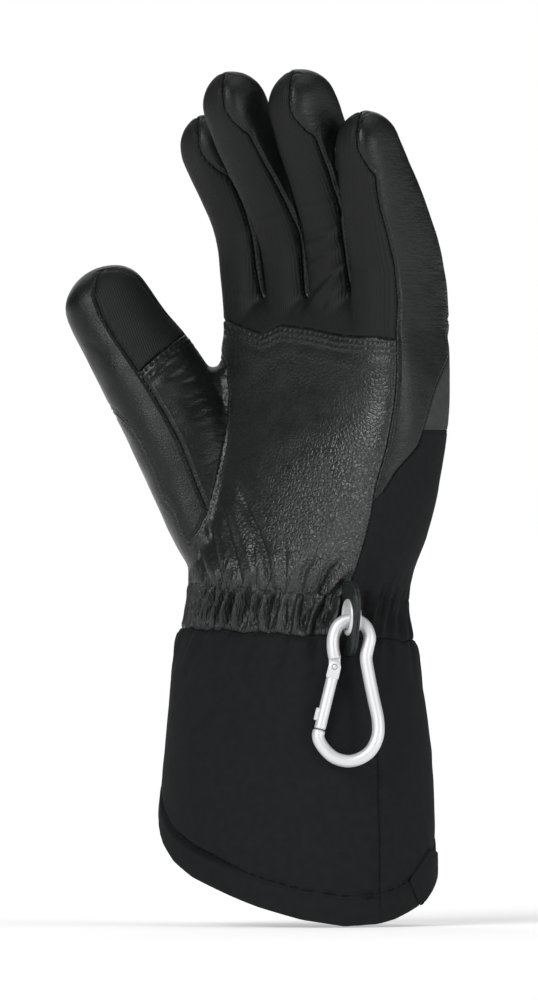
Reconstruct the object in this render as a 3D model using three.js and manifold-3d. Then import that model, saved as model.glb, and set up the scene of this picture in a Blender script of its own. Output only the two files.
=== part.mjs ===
// Left-hand winter glove with a long gauntlet cuff, in millimetres.
// The middle of the wrist is the origin, the fingers point up along +Z,
// the palm faces -Y and the thumb is on the -X side.
import * as THREE from "three";
import { mergeVertices } from "three/addons/utils/BufferGeometryUtils.js";
import Module from "manifold-3d";

// Cloth and leather
const HAND_WALL = 3.0;
const CUFF_WALL = 2.2;
const FINGER_WALL = 2.4;
const GAP = 0.3;
const HAND_POINTS = 48;
const LINING_POINTS = 20;
const FINGER_POINTS = 12;
const DOME_STEPS = 3;
const DOME_END = 0.9;

// Direction in which the thumb seams and the snap hook are laid out, from +X about +Z
const LAYOUT_TURN = THREE.MathUtils.degToRad(45);
const SIDE_TURN = Math.PI / 2;
const REACH = 200;

// Heights of the seams that run round the hand
const CUFF_TOP = -14;
const INSERT_BOTTOM = 68;
const KNUCKLE_SEAM = 112;
const KNUCKLE_TOP = 121;
const HEM_BAND = 12;

// Hand body: height, middle across, middle in depth, half width, half depth, squareness, ruffle
const HAND_SECTIONS = [
  [120.5, 12.6, 9.0, 49.5, 17.0, 3.6, 0],
  [118.5, 12.6, 9.0, 51.4, 20.2, 4.0, 0],
  [112, 12.6, 9.0, 51.8, 21.8, 4.2, 0],
  [103, 13.3, 9.0, 51.9, 22.2, 4.0, 0],
  [84, 13.1, 8.0, 53.3, 24.0, 3.4, 0],
  [65, 11.6, 6.5, 54.1, 27.0, 3.0, 0],
  [46, 9.1, 4.5, 53.8, 30.5, 2.7, 0],
  [26, 5.8, 2.0, 51.6, 34.0, 2.5, 0.3],
  [10, 2.0, 0.0, 48.6, 36.7, 2.3, 0.9],
  [5, 1.2, 0.0, 47.6, 36.8, 2.3, 0.4],
  [0, 0.8, 0.0, 47.7, 37.2, 2.3, 1.2],
  [-5, -0.1, 0.0, 48.0, 37.8, 2.3, 1.2],
  [-10, -0.8, 0.0, 48.4, 38.6, 2.3, 0.4],
  [-14, -1.2, 0.0, 49.7, 40.2, 2.3, 0],
  [-24, -0.7, 0.0, 50.6, 43.0, 2.3, 0],
];
// Lower cuff: share of the way to the hem band, then as above
const CUFF_SECTIONS = [
  [0.25, 0.6, 0.0, 52.0, 46.5, 2.3, 0],
  [0.5, 0.7, 0.0, 53.1, 49.0, 2.3, 0],
  [0.75, 0.0, 0.0, 54.2, 50.3, 2.3, 0],
  [1.0, -0.1, 0.0, 55.0, 50.6, 2.3, 0],
];
// Hem: angle about +Z from +X in degrees, height of the edge
const HEM_EDGE = [
  [0, -128.5],
  [16, -124],
  [30, -116],
  [45, -107],
  [70, -98],
  [110, -90],
  [160, -80],
  [195, -78],
  [212, -82],
  [224, -89],
  [235, -98],
  [246, -106],
  [260, -113],
  [278, -119.5],
  [298, -125],
  [317, -128.5],
  [335, -130],
  [351, -129.6],
  [360, -128.5],
];

// Fingers: middle across, middle in depth, height, half width, half depth, front seam depth
const FINGERS = {
  index: {
    top: 15.5,
    rows: [
      [-24.4, 9.2, 106, 11.9, 20.2, 9],
      [-24.8, 8.6, 120, 12.0, 20.6, 8],
      [-25.6, 4.0, 136, 12.1, 18.8, 6],
      [-26.4, -3.6, 152, 12.0, 14.8, 4.5],
      [-27.4, -13.4, 167, 11.7, 12.8, 4],
      [-28.6, -20.6, 180, 11.2, 12.2, 4],
    ],
  },
  middle: {
    top: 15.5,
    rows: [
      [0.3, 9.0, 106, 11.9, 20.2, 9],
      [0.3, 8.2, 120, 12.0, 20.4, 8],
      [0.4, 3.9, 134, 12.0, 17.8, 6],
      [0.4, -3.9, 150, 11.8, 13.6, 4.5],
      [0.0, -15.6, 168, 11.8, 12.4, 4],
      [0.0, -27.3, 184, 11.6, 12.2, 4],
      [0.0, -34.5, 196.5, 11.2, 12.0, 4],
    ],
  },
  ring: {
    top: 15.5,
    rows: [
      [25.0, 8.8, 106, 11.9, 20.2, 9],
      [25.0, 8.2, 120, 12.0, 20.4, 8],
      [25.1, 5.3, 134, 12.0, 18.4, 6],
      [25.4, 0.0, 150, 12.1, 16.4, 4.5],
      [26.0, -8.4, 168, 12.1, 15.0, 4],
      [26.8, -16.9, 184, 12.1, 15.2, 4],
      [27.4, -23.4, 196.5, 11.8, 15.0, 4],
    ],
  },
  little: {
    top: 15.5,
    rows: [
      [49.6, 8.6, 106, 11.9, 21.0, 9],
      [49.8, 8.1, 120, 12.0, 22.2, 8],
      [49.9, 6.9, 134, 12.0, 22.0, 6],
      [50.3, 2.8, 148, 12.0, 20.6, 5],
      [50.8, -3.2, 164, 12.0, 17.8, 4.5],
      [51.2, -10.0, 180, 11.4, 13.4, 4],
    ],
  },
};
const LITTLE = 3;
const FINGER_SQUARENESS = 3.0;
const FRONT_END = 7;
const FRONT_MARGIN = 4;
const FRONT_SIDE_MARGIN = 1;
const TIP_LEVEL = 240;
// Lines between neighbouring fingers: across at the knuckles, across at the tips
const FINGER_LINES = [
  [-90, -90],
  [-12.2, -14.3],
  [12.6, 13.7],
  [37.4, 39.4],
  [110, 110],
];

// Thumb, along the layout direction: across, towards the front, height, half width, half depth
const THUMB_SECTIONS = [
  [-29, -6, 14, 12.5, 13],
  [-36.2, -9, 30, 16.0, 15],
  [-41.0, -12, 46, 19.0, 16],
  [-45.4, -14, 62, 21.4, 16.5],
  [-51.8, -17, 78, 22.6, 16.5],
  [-58.8, -20, 92, 22.8, 16],
  [-67.4, -23.5, 104, 19.8, 15.5],
  [-72.6, -25.5, 112, 18.8, 15],
  [-76.0, -27, 118.5, 17.6, 14.5],
];
const THUMB_TOP = 14.5;
const THUMB_SQUARENESS = 2.4;
// Thumb opening on the palm, and the seams of the thumb: across, height
const THUMB_OPENING = [
  [-31, 97],
  [-28.4, 93],
  [-27.6, 82.4],
  [-28, 71],
  [-29.6, 60],
  [-32.4, 47.6],
  [-35.6, 35.6],
  [-39.2, 28.4],
  [-43.6, 23.2],
  [-46, 27.2],
  [-48.4, 34.4],
  [-52.8, 39.6],
  [-57.2, 52],
  [-62, 62],
  [-66.8, 69.2],
  [-100, 75],
  [-115, 110],
  [-100, 150],
  [-50, 150],
];
const THUMB_FRONT_EDGE = [
  [-77, 133.5],
  [-80.4, 129.6],
  [-81.2, 122.4],
  [-78.4, 114],
  [-72.8, 104.8],
  [-66.8, 96.4],
  [-60, 86.4],
  [-52.8, 74.4],
  [-46.8, 63.2],
  [-42.8, 52.8],
  [-39.2, 43.6],
  [-35.6, 35.6],
  [-34, 20],
  [-15, 20],
  [-15, 133.5],
];
const THUMB_TIP_SEAM = [
  [-120, 60],
  [-63.2, 91.6],
  [-55, 99.2],
  [-45.2, 106.4],
  [-20, 122],
  [-20, 170],
  [-120, 170],
];
const THUMB_SPLIT_DEPTH = -20;
const PALM_SPLIT_DEPTH = -4;

// Palm edge seen from the side: depth, height
const PALM_EDGE = [
  [-14.5, -16],
  [-13, 0],
  [-12, 14],
  [-8.5, 50],
  [-5, 80],
  [-2, 107],
  [-1, 125],
];
// Lower edge of the side panel seen from the side: depth, height
const SIDE_PANEL_EDGE = [
  [-9.5, 38.6],
  [-5.4, 41],
  [4.5, 52.8],
  [12.4, 62],
  [17.8, 72.8],
  [20.5, 87],
  [23.5, 97],
  [26, 112],
];
const SIDE_PANEL_LEFT = 34;
// Lower edge of the ribbed finger cloth, along the layout direction: across, height
const BAND_EDGE = [
  [-60, 112],
  [-28.8, 112],
  [-14, 106.4],
  [-6.8, 110],
  [4.8, 108.4],
  [17.6, 105.6],
  [40.4, 103.6],
  [70, 103.6],
];
const CUFF_SEAM_DEPTH = -8;

// Snap hook: where its wire passes the eyelet, along the layout direction
const HOOK_ACROSS = 21.6;
const HOOK_OUT = 53.5;
const HOOK_HEIGHT = -7.4;
const HOOK_LEAN = THREE.MathUtils.degToRad(5);
const WIRE_RADIUS = 2.5;
const WIRE_POINTS = 8;
const HOOK_STEPS = 38;
// Snap hook centre line: across, up
const HOOK_LINE = [
  [-6.6, -15.9],
  [-7.3, -11.8],
  [-7.1, -6.8],
  [-5.0, -2.2],
  [0, 0],
  [5.0, -2.2],
  [7.2, -6.8],
  [6.5, -11.2],
  [5.8, -15.2],
  [6.8, -22],
  [8.8, -32],
  [10.5, -40.4],
  [10.3, -46.8],
  [7.6, -52.4],
  [3.2, -55.6],
  [-1.6, -56.6],
  [-6.8, -55.2],
  [-10.8, -51.6],
  [-12.8, -46.6],
  [-12.9, -44.2],
];
// Gate: hinge and free end, across and up
const HINGE = [-6.7, -19.2];
const GATE_END = [-12.5, -43.3];
const GATE_RADIUS = 2.3;
const GATE_START = 3.6;
const FORK_RADIUS = 2.5;
const FORK_LENGTH = 5.4;
const FORK_DEPTH = 5.0;
const TONGUE_THICK = 1.8;
const TONGUE_RADIUS = 2.3;
const SLOT_CLEARANCE = 0.35;
const SLOT_BELOW = 3.0;
const SLOT_ABOVE = 6.0;
const PIN_RADIUS = 0.9;
const PIN_LENGTH = 5.6;
const PIN_CLEARANCE = 0.25;
const LUG_WIDTH = 3.4;
const LUG_LENGTH = 5.0;
const LUG_DEPTH = 2.6;
const LUG_SHIFT = 1.6;
const LUG_UP = 5.6;

// Hanging tab with its eyelet, turned from the hook's wire
const TAB_TURN = THREE.MathUtils.degToRad(16);
const TAB_THICK = 2.4;
const TAB_HOLE = 5.6;
const EYELET_RISE = 0.8;
// Tab outline round the eyelet: outwards, up
const TAB_OUTLINE = [
  [-26, 14.4],
  [3.5, 14.4],
  [8, 11.8],
  [10.4, 7.4],
  [9.6, 0],
  [7, -8],
  [4.4, -13],
  [0.5, -15.6],
  [-26, -15.6],
];
// Eyelet profile: radius, along its axis
const EYELET_PROFILE = [
  [4.7, -1.8],
  [5.1, -2.2],
  [6.9, -2.2],
  [7.4, -1.9],
  [7.4, -1.5],
  [5.3, -1.5],
  [5.3, 1.5],
  [7.4, 1.5],
  [7.4, 1.9],
  [6.9, 2.2],
  [5.1, 2.2],
  [4.7, 1.8],
  [4.7, -1.8],
];
const ROUND_POINTS = 16;

// Pull tab folded over the hem: across and height along the layout direction
const PULL_OUTLINE = [
  [45.2, -112.8],
  [52.8, -100],
  [60, -104],
  [60, -116],
  [50.5, -126],
  [47.6, -119.5],
];
const BAND_STANDS_OUT = 0.4;
const PULL_INSIDE = 0.75;
const PULL_OUTSIDE = 1.9;

const wasm = await Module();
wasm.setup();

const material = (color, roughness, metalness) =>
  new THREE.MeshStandardMaterial({ color, roughness, metalness });

// Closed solid from a three.js geometry
function solid(geometry) {
  const bare = geometry.clone();
  bare.deleteAttribute("normal");
  bare.deleteAttribute("uv");
  const merged = mergeVertices(bare, 1e-4);
  return new wasm.Manifold(
    new wasm.Mesh({
      numProp: 3,
      vertProperties: merged.attributes.position.array,
      triVerts: new Uint32Array(merged.index.array),
    }),
  );
}

// Mesh from a solid
function meshOf(name, body, look) {
  const made = body.getMesh();
  const position = new Float32Array(made.numVert * 3);
  for (let i = 0; i < made.numVert; i++) {
    const start = i * made.numProp;
    position.set(made.vertProperties.subarray(start, start + 3), i * 3);
  }
  const geometry = new THREE.BufferGeometry()
    .setAttribute("position", new THREE.BufferAttribute(position, 3))
    .setIndex(new THREE.BufferAttribute(made.triVerts, 1));
  geometry.computeVertexNormals();
  const mesh = new THREE.Mesh(geometry, look);
  mesh.name = name;
  return mesh;
}

// Closed loft through rings of equal length, first ring to last along the outward way
function loft(rings) {
  const count = rings[0].length;
  const position = [];
  rings.forEach((ring) => ring.forEach((p) => position.push(p.x, p.y, p.z)));
  const index = [];
  for (let r = 0; r + 1 < rings.length; r++)
    for (let i = 0; i < count; i++) {
      const a = r * count + i;
      const b = r * count + ((i + 1) % count);
      index.push(a, b, a + count, b, b + count, a + count);
    }
  for (const end of [0, rings.length - 1]) {
    const middle = new THREE.Vector3();
    rings[end].forEach((p) => middle.addScaledVector(p, 1 / count));
    const tip = position.length / 3;
    position.push(middle.x, middle.y, middle.z);
    for (let i = 0; i < count; i++) {
      const a = end * count + i;
      const b = end * count + ((i + 1) % count);
      if (end === 0) index.push(tip, b, a);
      else index.push(tip, a, b);
    }
  }
  return solid(
    new THREE.BufferGeometry()
      .setAttribute("position", new THREE.Float32BufferAttribute(position, 3))
      .setIndex(index),
  );
}

// Point of a rounded-square section at an angle
function roundSquare(angle, halfWidth, halfDepth, squareness) {
  const c = Math.cos(angle);
  const s = Math.sin(angle);
  const power = 2 / squareness;
  return [
    Math.sign(c) * halfWidth * Math.abs(c) ** power,
    Math.sign(s) * halfDepth * Math.abs(s) ** power,
  ];
}

// Height of the hem edge at an angle in degrees
function hemHeight(degrees) {
  const angle = ((degrees % 360) + 360) % 360;
  const next = HEM_EDGE.findIndex((row) => row[0] >= angle);
  if (next <= 0) return HEM_EDGE[0][1];
  const [a, za] = HEM_EDGE[next - 1];
  const [b, zb] = HEM_EDGE[next];
  return THREE.MathUtils.lerp(za, zb, (angle - a) / (b - a));
}

// Ring round the hand or cuff; heightAt gives the height from the angle in degrees
function handRing(row, offset, heightAt) {
  const [, x, y, halfWidth, halfDepth, squareness, ruffle] = row;
  const count = offset < 0 ? LINING_POINTS : HAND_POINTS;
  return Array.from({ length: count }, (_, i) => {
    const angle = (i / count) * 2 * Math.PI;
    const wave = offset < 0 || i % 2 ? 0 : ruffle;
    const [px, py] = roundSquare(
      angle,
      halfWidth + offset - wave,
      halfDepth + offset - wave,
      squareness,
    );
    const degrees = THREE.MathUtils.radToDeg(Math.atan2(py, px));
    return new THREE.Vector3(x + px, y + py, heightAt(degrees));
  });
}

// Height on the cuff: share 1 is the top of the hem band
function cuffHeight(share, degrees) {
  const start = HAND_SECTIONS[HAND_SECTIONS.length - 1][0];
  return THREE.MathUtils.lerp(start, hemHeight(degrees) + HEM_BAND, share);
}

// Hand and cuff, grown by the offset; below tells how far past the hem band it goes
function handBody(offset, below) {
  const last = CUFF_SECTIONS[CUFF_SECTIONS.length - 1];
  const rings = [handRing(last, offset, (d) => cuffHeight(1, d) - below)];
  for (const row of CUFF_SECTIONS.slice(0, -1).reverse())
    rings.push(handRing(row, offset, (d) => cuffHeight(row[0], d)));
  for (const row of [...HAND_SECTIONS].reverse())
    rings.push(handRing(row, offset, () => row[0] + Math.min(offset, 0)));
  return loft(rings);
}

// Frames along a path: points, tangents and the two section directions
function pathFrames(points, across) {
  return points.map((point, i) => {
    const before = points[Math.max(i - 1, 0)];
    const after = points[Math.min(i + 1, points.length - 1)];
    const along = after.clone().sub(before).normalize();
    const u = across.clone().addScaledVector(along, -across.dot(along));
    u.normalize();
    return { point, along, u, v: along.clone().cross(u) };
  });
}

// Rounded tube with a domed tip, grown by the offset
function stall(frames, sizes, top, squareness, offset) {
  const ring = (frame, shift, scale, size) =>
    Array.from({ length: FINGER_POINTS }, (_, i) => {
      const angle = (i / FINGER_POINTS) * 2 * Math.PI;
      const [a, b] = roundSquare(
        angle,
        (size[0] + offset) * scale,
        (size[1] + offset) * scale,
        squareness,
      );
      return frame.point
        .clone()
        .addScaledVector(frame.along, shift)
        .addScaledVector(frame.u, a)
        .addScaledVector(frame.v, b);
    });
  const rings = frames.map((frame, i) => ring(frame, 0, 1, sizes[i]));
  const end = frames[frames.length - 1];
  const size = sizes[sizes.length - 1];
  for (let k = 1; k <= DOME_STEPS; k++) {
    const angle = (k / DOME_STEPS) * DOME_END * (Math.PI / 2);
    const shift = (top + offset) * Math.sin(angle);
    rings.push(ring(end, shift, Math.cos(angle), size));
  }
  return loft(rings);
}

// Front of a finger tube as a four-sided sweep, down to the seam depth
function frontSweep(frames, rows, margin) {
  const corners = (frame, row, shift) => {
    const wide = row[3] + FRONT_SIDE_MARGIN;
    const low = -row[4] - FRONT_MARGIN;
    const high = -row[4] + row[5] + margin;
    return [
      [-wide, low],
      [wide, low],
      [wide, high],
      [-wide, high],
    ].map(([a, b]) =>
      frame.point
        .clone()
        .addScaledVector(frame.along, shift)
        .addScaledVector(frame.u, a)
        .addScaledVector(frame.v, b),
    );
  };
  const rings = frames.map((frame, i) => corners(frame, rows[i], 0));
  const end = frames.length - 1;
  rings.push(corners(frames[end], rows[end], FRONT_END + margin));
  return loft(rings);
}

// Prism over an outline drawn across and up, from one depth to another
function prism(outline, turn, near, far) {
  const shape = new THREE.Shape(outline.map(([a, b]) => new THREE.Vector2(a, b)));
  const geometry = new THREE.ExtrudeGeometry(shape, {
    depth: far - near,
    bevelEnabled: false,
  });
  const across = new THREE.Vector3(Math.cos(turn), Math.sin(turn), 0);
  const up = new THREE.Vector3(0, 0, 1);
  const out = across.clone().cross(up);
  geometry.translate(0, 0, near);
  geometry.applyMatrix4(new THREE.Matrix4().makeBasis(across, up, out));
  return solid(geometry);
}

// Outline moved outwards by a distance, corner by corner
function grow(outline, distance) {
  const count = outline.length;
  const area = outline.reduce((sum, [x, y], i) => {
    const [nx, ny] = outline[(i + 1) % count];
    return sum + x * ny - nx * y;
  }, 0);
  const side = Math.sign(area);
  const normals = outline.map(([x, y], i) => {
    const [nx, ny] = outline[(i + 1) % count];
    const edge = new THREE.Vector2(nx - x, ny - y).normalize();
    return new THREE.Vector2(edge.y * side, -edge.x * side);
  });
  return outline.map(([x, y], i) => {
    const before = normals[(i + count - 1) % count];
    const after = normals[i];
    const bisector = before.clone().add(after).normalize();
    const step = distance / Math.max(bisector.dot(after), 0.5);
    return [x + bisector.x * step, y + bisector.y * step];
  });
}

// Everything between two heights
const between = (low, high) =>
  prism(
    [
      [-REACH, low],
      [REACH, low],
      [REACH, high],
      [-REACH, high],
    ],
    0,
    -REACH,
    REACH,
  );

const joined = (bodies) => bodies.reduce((sum, body) => sum.add(body));

// Largest of the loose bodies of a solid, without cutting crumbs
function largest(body) {
  const parts = body.decompose();
  return parts.sort((a, b) => b.volume() - a.volume())[0];
}

// Point from the layout directions
function layoutPoint(across, out, height) {
  const c = Math.cos(LAYOUT_TURN);
  const s = Math.sin(LAYOUT_TURN);
  return new THREE.Vector3(
    across * c + out * s,
    across * s - out * c,
    height,
  );
}

const fingerNames = Object.keys(FINGERS);
const crossways = new THREE.Vector3(1, 0, 0);
const fingerFrames = fingerNames.map((name) =>
  pathFrames(
    FINGERS[name].rows.map(([x, y, z]) => new THREE.Vector3(x, y, z)),
    crossways,
  ),
);

// Four fingers, grown by the offset
const fingerBodies = (offset) =>
  fingerNames.map((name, i) => {
    const { rows, top } = FINGERS[name];
    const sizes = rows.map((row) => [row[3], row[4]]);
    return stall(fingerFrames[i], sizes, top, FINGER_SQUARENESS, offset);
  });

const thumbFrames = pathFrames(
  THUMB_SECTIONS.map(([a, o, z]) => layoutPoint(a, o, z)),
  layoutPoint(1, 0, 0),
);
const thumbSizes = THUMB_SECTIONS.map((row) => [row[3], row[4]]);
const thumbBody = (offset) =>
  stall(thumbFrames, thumbSizes, THUMB_TOP, THUMB_SQUARENESS, offset);

// Hollow glove above the cuff seam
const outer = joined([handBody(0, 0), ...fingerBodies(0), thumbBody(0)]);
const inner = joined([
  handBody(-HAND_WALL, HEM_BAND * 2),
  ...fingerBodies(-FINGER_WALL),
  thumbBody(-HAND_WALL),
]);
const shell = outer.subtract(inner).intersect(between(CUFF_TOP + GAP / 2, REACH * 2));

// Thumb, cut from the palm along its opening and from the back along its own shape
function thumbRegion(margin) {
  const opening = prism(grow(THUMB_OPENING, margin), LAYOUT_TURN, -REACH, REACH);
  const front = prism(
    grow(THUMB_OPENING, margin),
    LAYOUT_TURN,
    PALM_SPLIT_DEPTH - margin,
    REACH,
  );
  return opening.intersect(thumbBody(1 + margin)).add(front);
}
const thumbShell = shell.intersect(thumbRegion(0));
const handShell = shell.subtract(thumbRegion(GAP));
const thumbFront = (margin) =>
  prism(grow(THUMB_FRONT_EDGE, margin), LAYOUT_TURN, THUMB_SPLIT_DEPTH - margin, REACH);
const thumbTip = (margin) =>
  prism(grow(THUMB_TIP_SEAM, margin), LAYOUT_TURN, -REACH, REACH);
const thumbFaces = thumbShell.intersect(thumbFront(0));

// Front of the hand seen from the side
function frontOf(margin) {
  const edge = PALM_EDGE.map(([y, z]) => [y + margin, z]);
  const low = edge[0][1];
  const high = edge[edge.length - 1][1];
  return prism(
    [[-REACH, low], ...edge, [-REACH, high]],
    SIDE_TURN,
    -REACH,
    REACH,
  );
}
// Above the ribbed cloth's lower edge
const aboveBand = (margin) =>
  prism(
    [...BAND_EDGE.map(([a, z]) => [a, z - margin]), [70, REACH], [-60, REACH]],
    LAYOUT_TURN,
    -REACH,
    REACH,
  );
const fingerFronts = (margin) =>
  joined(
    fingerNames.map((name, i) =>
      frontSweep(fingerFrames[i], FINGERS[name].rows, margin),
    ),
  );
const clothRegion = (margin) =>
  frontOf(margin)
    .intersect(between(0, KNUCKLE_TOP + margin))
    .add(fingerFronts(margin))
    .intersect(aboveBand(0));

const palm = handShell.intersect(frontOf(0)).subtract(aboveBand(GAP));
const fingerCloth = handShell.intersect(clothRegion(0));
const backs = handShell.subtract(
  frontOf(GAP).intersect(between(-REACH, KNUCKLE_TOP)).add(clothRegion(GAP)),
);

// Leather side panel on the little-finger side
function sidePanel(margin) {
  const edge = SIDE_PANEL_EDGE.map(([y, z]) => [y, z - margin]);
  const high = KNUCKLE_SEAM + margin;
  return prism(
    [[-REACH, edge[0][1]], ...edge, [edge[edge.length - 1][0], high], [-REACH, high]],
    SIDE_TURN,
    SIDE_PANEL_LEFT - margin,
    REACH,
  );
}
const knuckleUp = backs.intersect(between(KNUCKLE_SEAM + GAP / 2, REACH * 2));
const knuckleDown = backs.intersect(between(-REACH, KNUCKLE_SEAM - GAP / 2));

// Column of one finger, between its two lines
function fingerColumn(i) {
  const [leftLow, leftHigh] = FINGER_LINES[i];
  const [rightLow, rightHigh] = FINGER_LINES[i + 1];
  const half = GAP / 2;
  return prism(
    [
      [leftLow + half, KNUCKLE_SEAM],
      [rightLow - half, KNUCKLE_SEAM],
      [rightHigh - half, TIP_LEVEL],
      [leftHigh + half, TIP_LEVEL],
    ],
    0,
    -REACH,
    REACH,
  );
}
const wrapOf = (i) => knuckleUp.intersect(fingerColumn(i));
const littleWrap = backs.intersect(sidePanel(0).add(fingerColumn(LITTLE)));
const backCloth = knuckleDown.subtract(sidePanel(GAP));

// Cuff below the gathered wrist
const cuffShell = handBody(0, -GAP)
  .subtract(handBody(-CUFF_WALL, HEM_BAND * 2))
  .intersect(between(-REACH, CUFF_TOP - GAP / 2));
const cuffFrontRegion = (margin) =>
  prism(
    [
      [-REACH, -REACH],
      [CUFF_SEAM_DEPTH - margin, -REACH],
      [CUFF_SEAM_DEPTH - margin, REACH],
      [-REACH, REACH],
    ],
    SIDE_TURN,
    -REACH,
    REACH,
  );

// Sleeve round the hem, from below the edge to above it
function hemSleeve(offset, below, above) {
  const row = CUFF_SECTIONS[CUFF_SECTIONS.length - 1];
  return loft([
    handRing(row, offset, (d) => hemHeight(d) - below),
    handRing(row, offset, (d) => hemHeight(d) + above),
  ]);
}
const hemBand = hemSleeve(BAND_STANDS_OUT, 0, HEM_BAND).subtract(
  hemSleeve(-CUFF_WALL, HEM_BAND, HEM_BAND * 2),
);
const pullTab = hemSleeve(PULL_OUTSIDE, 0, HEM_BAND * 3)
  .subtract(hemSleeve(PULL_INSIDE, HEM_BAND, HEM_BAND * 4))
  .intersect(prism(PULL_OUTLINE, LAYOUT_TURN, 0, REACH));

// Axes of the snap hook: across, up along its lean, and out of its plane
const hookAcross = layoutPoint(1, 0, 0);
const hookUp = layoutPoint(0, -Math.sin(HOOK_LEAN), Math.cos(HOOK_LEAN));
const hookPlace = new THREE.Matrix4()
  .makeBasis(hookAcross, hookUp, hookAcross.clone().cross(hookUp))
  .setPosition(layoutPoint(HOOK_ACROSS, HOOK_OUT, HOOK_HEIGHT));

// Cylinder through the hook's plane, and a bar along a line in it
function crossPin(radius, length) {
  const geometry = new THREE.CylinderGeometry(radius, radius, length, ROUND_POINTS);
  geometry.rotateX(Math.PI / 2).translate(HINGE[0], HINGE[1], 0);
  return solid(geometry.applyMatrix4(hookPlace));
}
const gateWay = new THREE.Vector2(GATE_END[0] - HINGE[0], GATE_END[1] - HINGE[1]);
const gateLength = gateWay.length();
const gateTurn = gateWay.angle() + Math.PI / 2;
// Geometry drawn with the hinge at its origin and the gate along -Y
const onGate = (geometry) =>
  solid(
    geometry
      .rotateZ(gateTurn)
      .translate(HINGE[0], HINGE[1], 0)
      .applyMatrix4(hookPlace),
  );
const gateBox = (width, length, depth, across, middle) =>
  onGate(new THREE.BoxGeometry(width, length, depth).translate(across, middle, 0));

const wireShape = new THREE.Shape(
  Array.from({ length: WIRE_POINTS }, (_, i) => {
    const angle = (i / WIRE_POINTS) * 2 * Math.PI;
    return new THREE.Vector2(Math.cos(angle), Math.sin(angle)).multiplyScalar(WIRE_RADIUS);
  }),
);
const hookCurve = new THREE.CatmullRomCurve3(
  HOOK_LINE.map(([a, b]) => new THREE.Vector3(a, b, 0)),
);
const wire = solid(
  new THREE.ExtrudeGeometry(wireShape, {
    steps: HOOK_STEPS,
    extrudePath: hookCurve,
    bevelEnabled: false,
  }).applyMatrix4(hookPlace),
);
const tongueNeck = solid(
  new THREE.BoxGeometry(TONGUE_RADIUS * 2, FORK_LENGTH, TONGUE_THICK)
    .translate(HINGE[0], HINGE[1] + FORK_LENGTH / 2, 0)
    .applyMatrix4(hookPlace),
);
const snapHook = joined([
  wire,
  tongueNeck,
  crossPin(TONGUE_RADIUS, TONGUE_THICK),
  crossPin(PIN_RADIUS, PIN_LENGTH),
]);

const barLength = gateLength - GATE_START;
const gateBar = onGate(
  new THREE.CylinderGeometry(GATE_RADIUS, GATE_RADIUS, barLength, ROUND_POINTS).translate(
    0,
    -GATE_START - barLength / 2,
    0,
  ),
);
const slotThick = TONGUE_THICK + 2 * SLOT_CLEARANCE;
const slotMiddle = (SLOT_ABOVE - SLOT_BELOW) / 2;
const snapGate = joined([
  gateBar,
  crossPin(FORK_RADIUS, FORK_DEPTH),
  gateBox(FORK_RADIUS * 2, FORK_LENGTH, FORK_DEPTH, 0, -FORK_LENGTH / 2),
  gateBox(LUG_WIDTH, LUG_LENGTH, LUG_DEPTH, -LUG_SHIFT, LUG_UP - gateLength),
])
  .subtract(gateBox(REACH, SLOT_ABOVE + SLOT_BELOW, slotThick, 0, slotMiddle))
  .subtract(crossPin(PIN_RADIUS + PIN_CLEARANCE, REACH));

// Hanging tab: its plane holds the outward direction, its eyelet looks across
const tabOut = layoutPoint(Math.sin(TAB_TURN), Math.cos(TAB_TURN), 0);
const tabUp = new THREE.Vector3(0, 0, 1);
const tabPlace = new THREE.Matrix4()
  .makeBasis(tabOut, tabUp, tabOut.clone().cross(tabUp))
  .setPosition(layoutPoint(HOOK_ACROSS, HOOK_OUT, HOOK_HEIGHT + EYELET_RISE));
const tabShape = new THREE.Shape(TAB_OUTLINE.map(([a, b]) => new THREE.Vector2(a, b)));
const tabPlate = new THREE.ExtrudeGeometry(tabShape, {
  depth: TAB_THICK,
  bevelEnabled: false,
}).translate(0, 0, -TAB_THICK / 2);
const tabHole = new THREE.CylinderGeometry(TAB_HOLE, TAB_HOLE, TAB_THICK * 2, ROUND_POINTS)
  .rotateX(Math.PI / 2);
const hangTab = solid(tabPlate.applyMatrix4(tabPlace))
  .subtract(solid(tabHole.applyMatrix4(tabPlace)))
  .subtract(handBody(GAP, 0));
const eyeletRing = new THREE.LatheGeometry(
  EYELET_PROFILE.map(([r, along]) => new THREE.Vector2(r, along)),
  ROUND_POINTS,
).rotateX(Math.PI / 2);
const eyelet = solid(eyeletRing.applyMatrix4(tabPlace));

const leatherBlack = () => material(0x1c1c1d, 0.45, 0);
const softshellBlack = () => material(0x151516, 0.85, 0);
const ribbedBlack = () => material(0x202021, 0.75, 0);
const tabLeather = () => material(0x1d2420, 0.5, 0);
const greyCloth = () => material(0x3a3b3d, 0.8, 0);
const satinMetal = () => material(0xb4b6b8, 0.35, 0.9);

const glove = new THREE.Group();
const add = (name, body, look) => glove.add(meshOf(name, largest(body), look));

add("palm", palm, leatherBlack());
add("finger_front", fingerCloth, ribbedBlack());
add("index_wrap", wrapOf(0), leatherBlack());
add("middle_wrap", wrapOf(1), leatherBlack());
add("ring_wrap", wrapOf(2), leatherBlack());
add("side_panel", littleWrap, leatherBlack());
add("thumb_pad", thumbFaces.intersect(thumbTip(0)), ribbedBlack());
add("thumb_base", thumbFaces.subtract(thumbTip(GAP)), leatherBlack());
add("thumb_wrap", thumbShell.subtract(thumbFront(GAP)), leatherBlack());
add("back_insert", backCloth.intersect(between(INSERT_BOTTOM + GAP / 2, REACH)), greyCloth());
add("back_shell", backCloth.intersect(between(-REACH, INSERT_BOTTOM - GAP / 2)), softshellBlack());
add("cuff_front", cuffShell.intersect(cuffFrontRegion(GAP / 2)), softshellBlack());
add("cuff_back", cuffShell.subtract(cuffFrontRegion(-GAP / 2)), softshellBlack());
add("hem_band", hemBand, softshellBlack());
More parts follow.
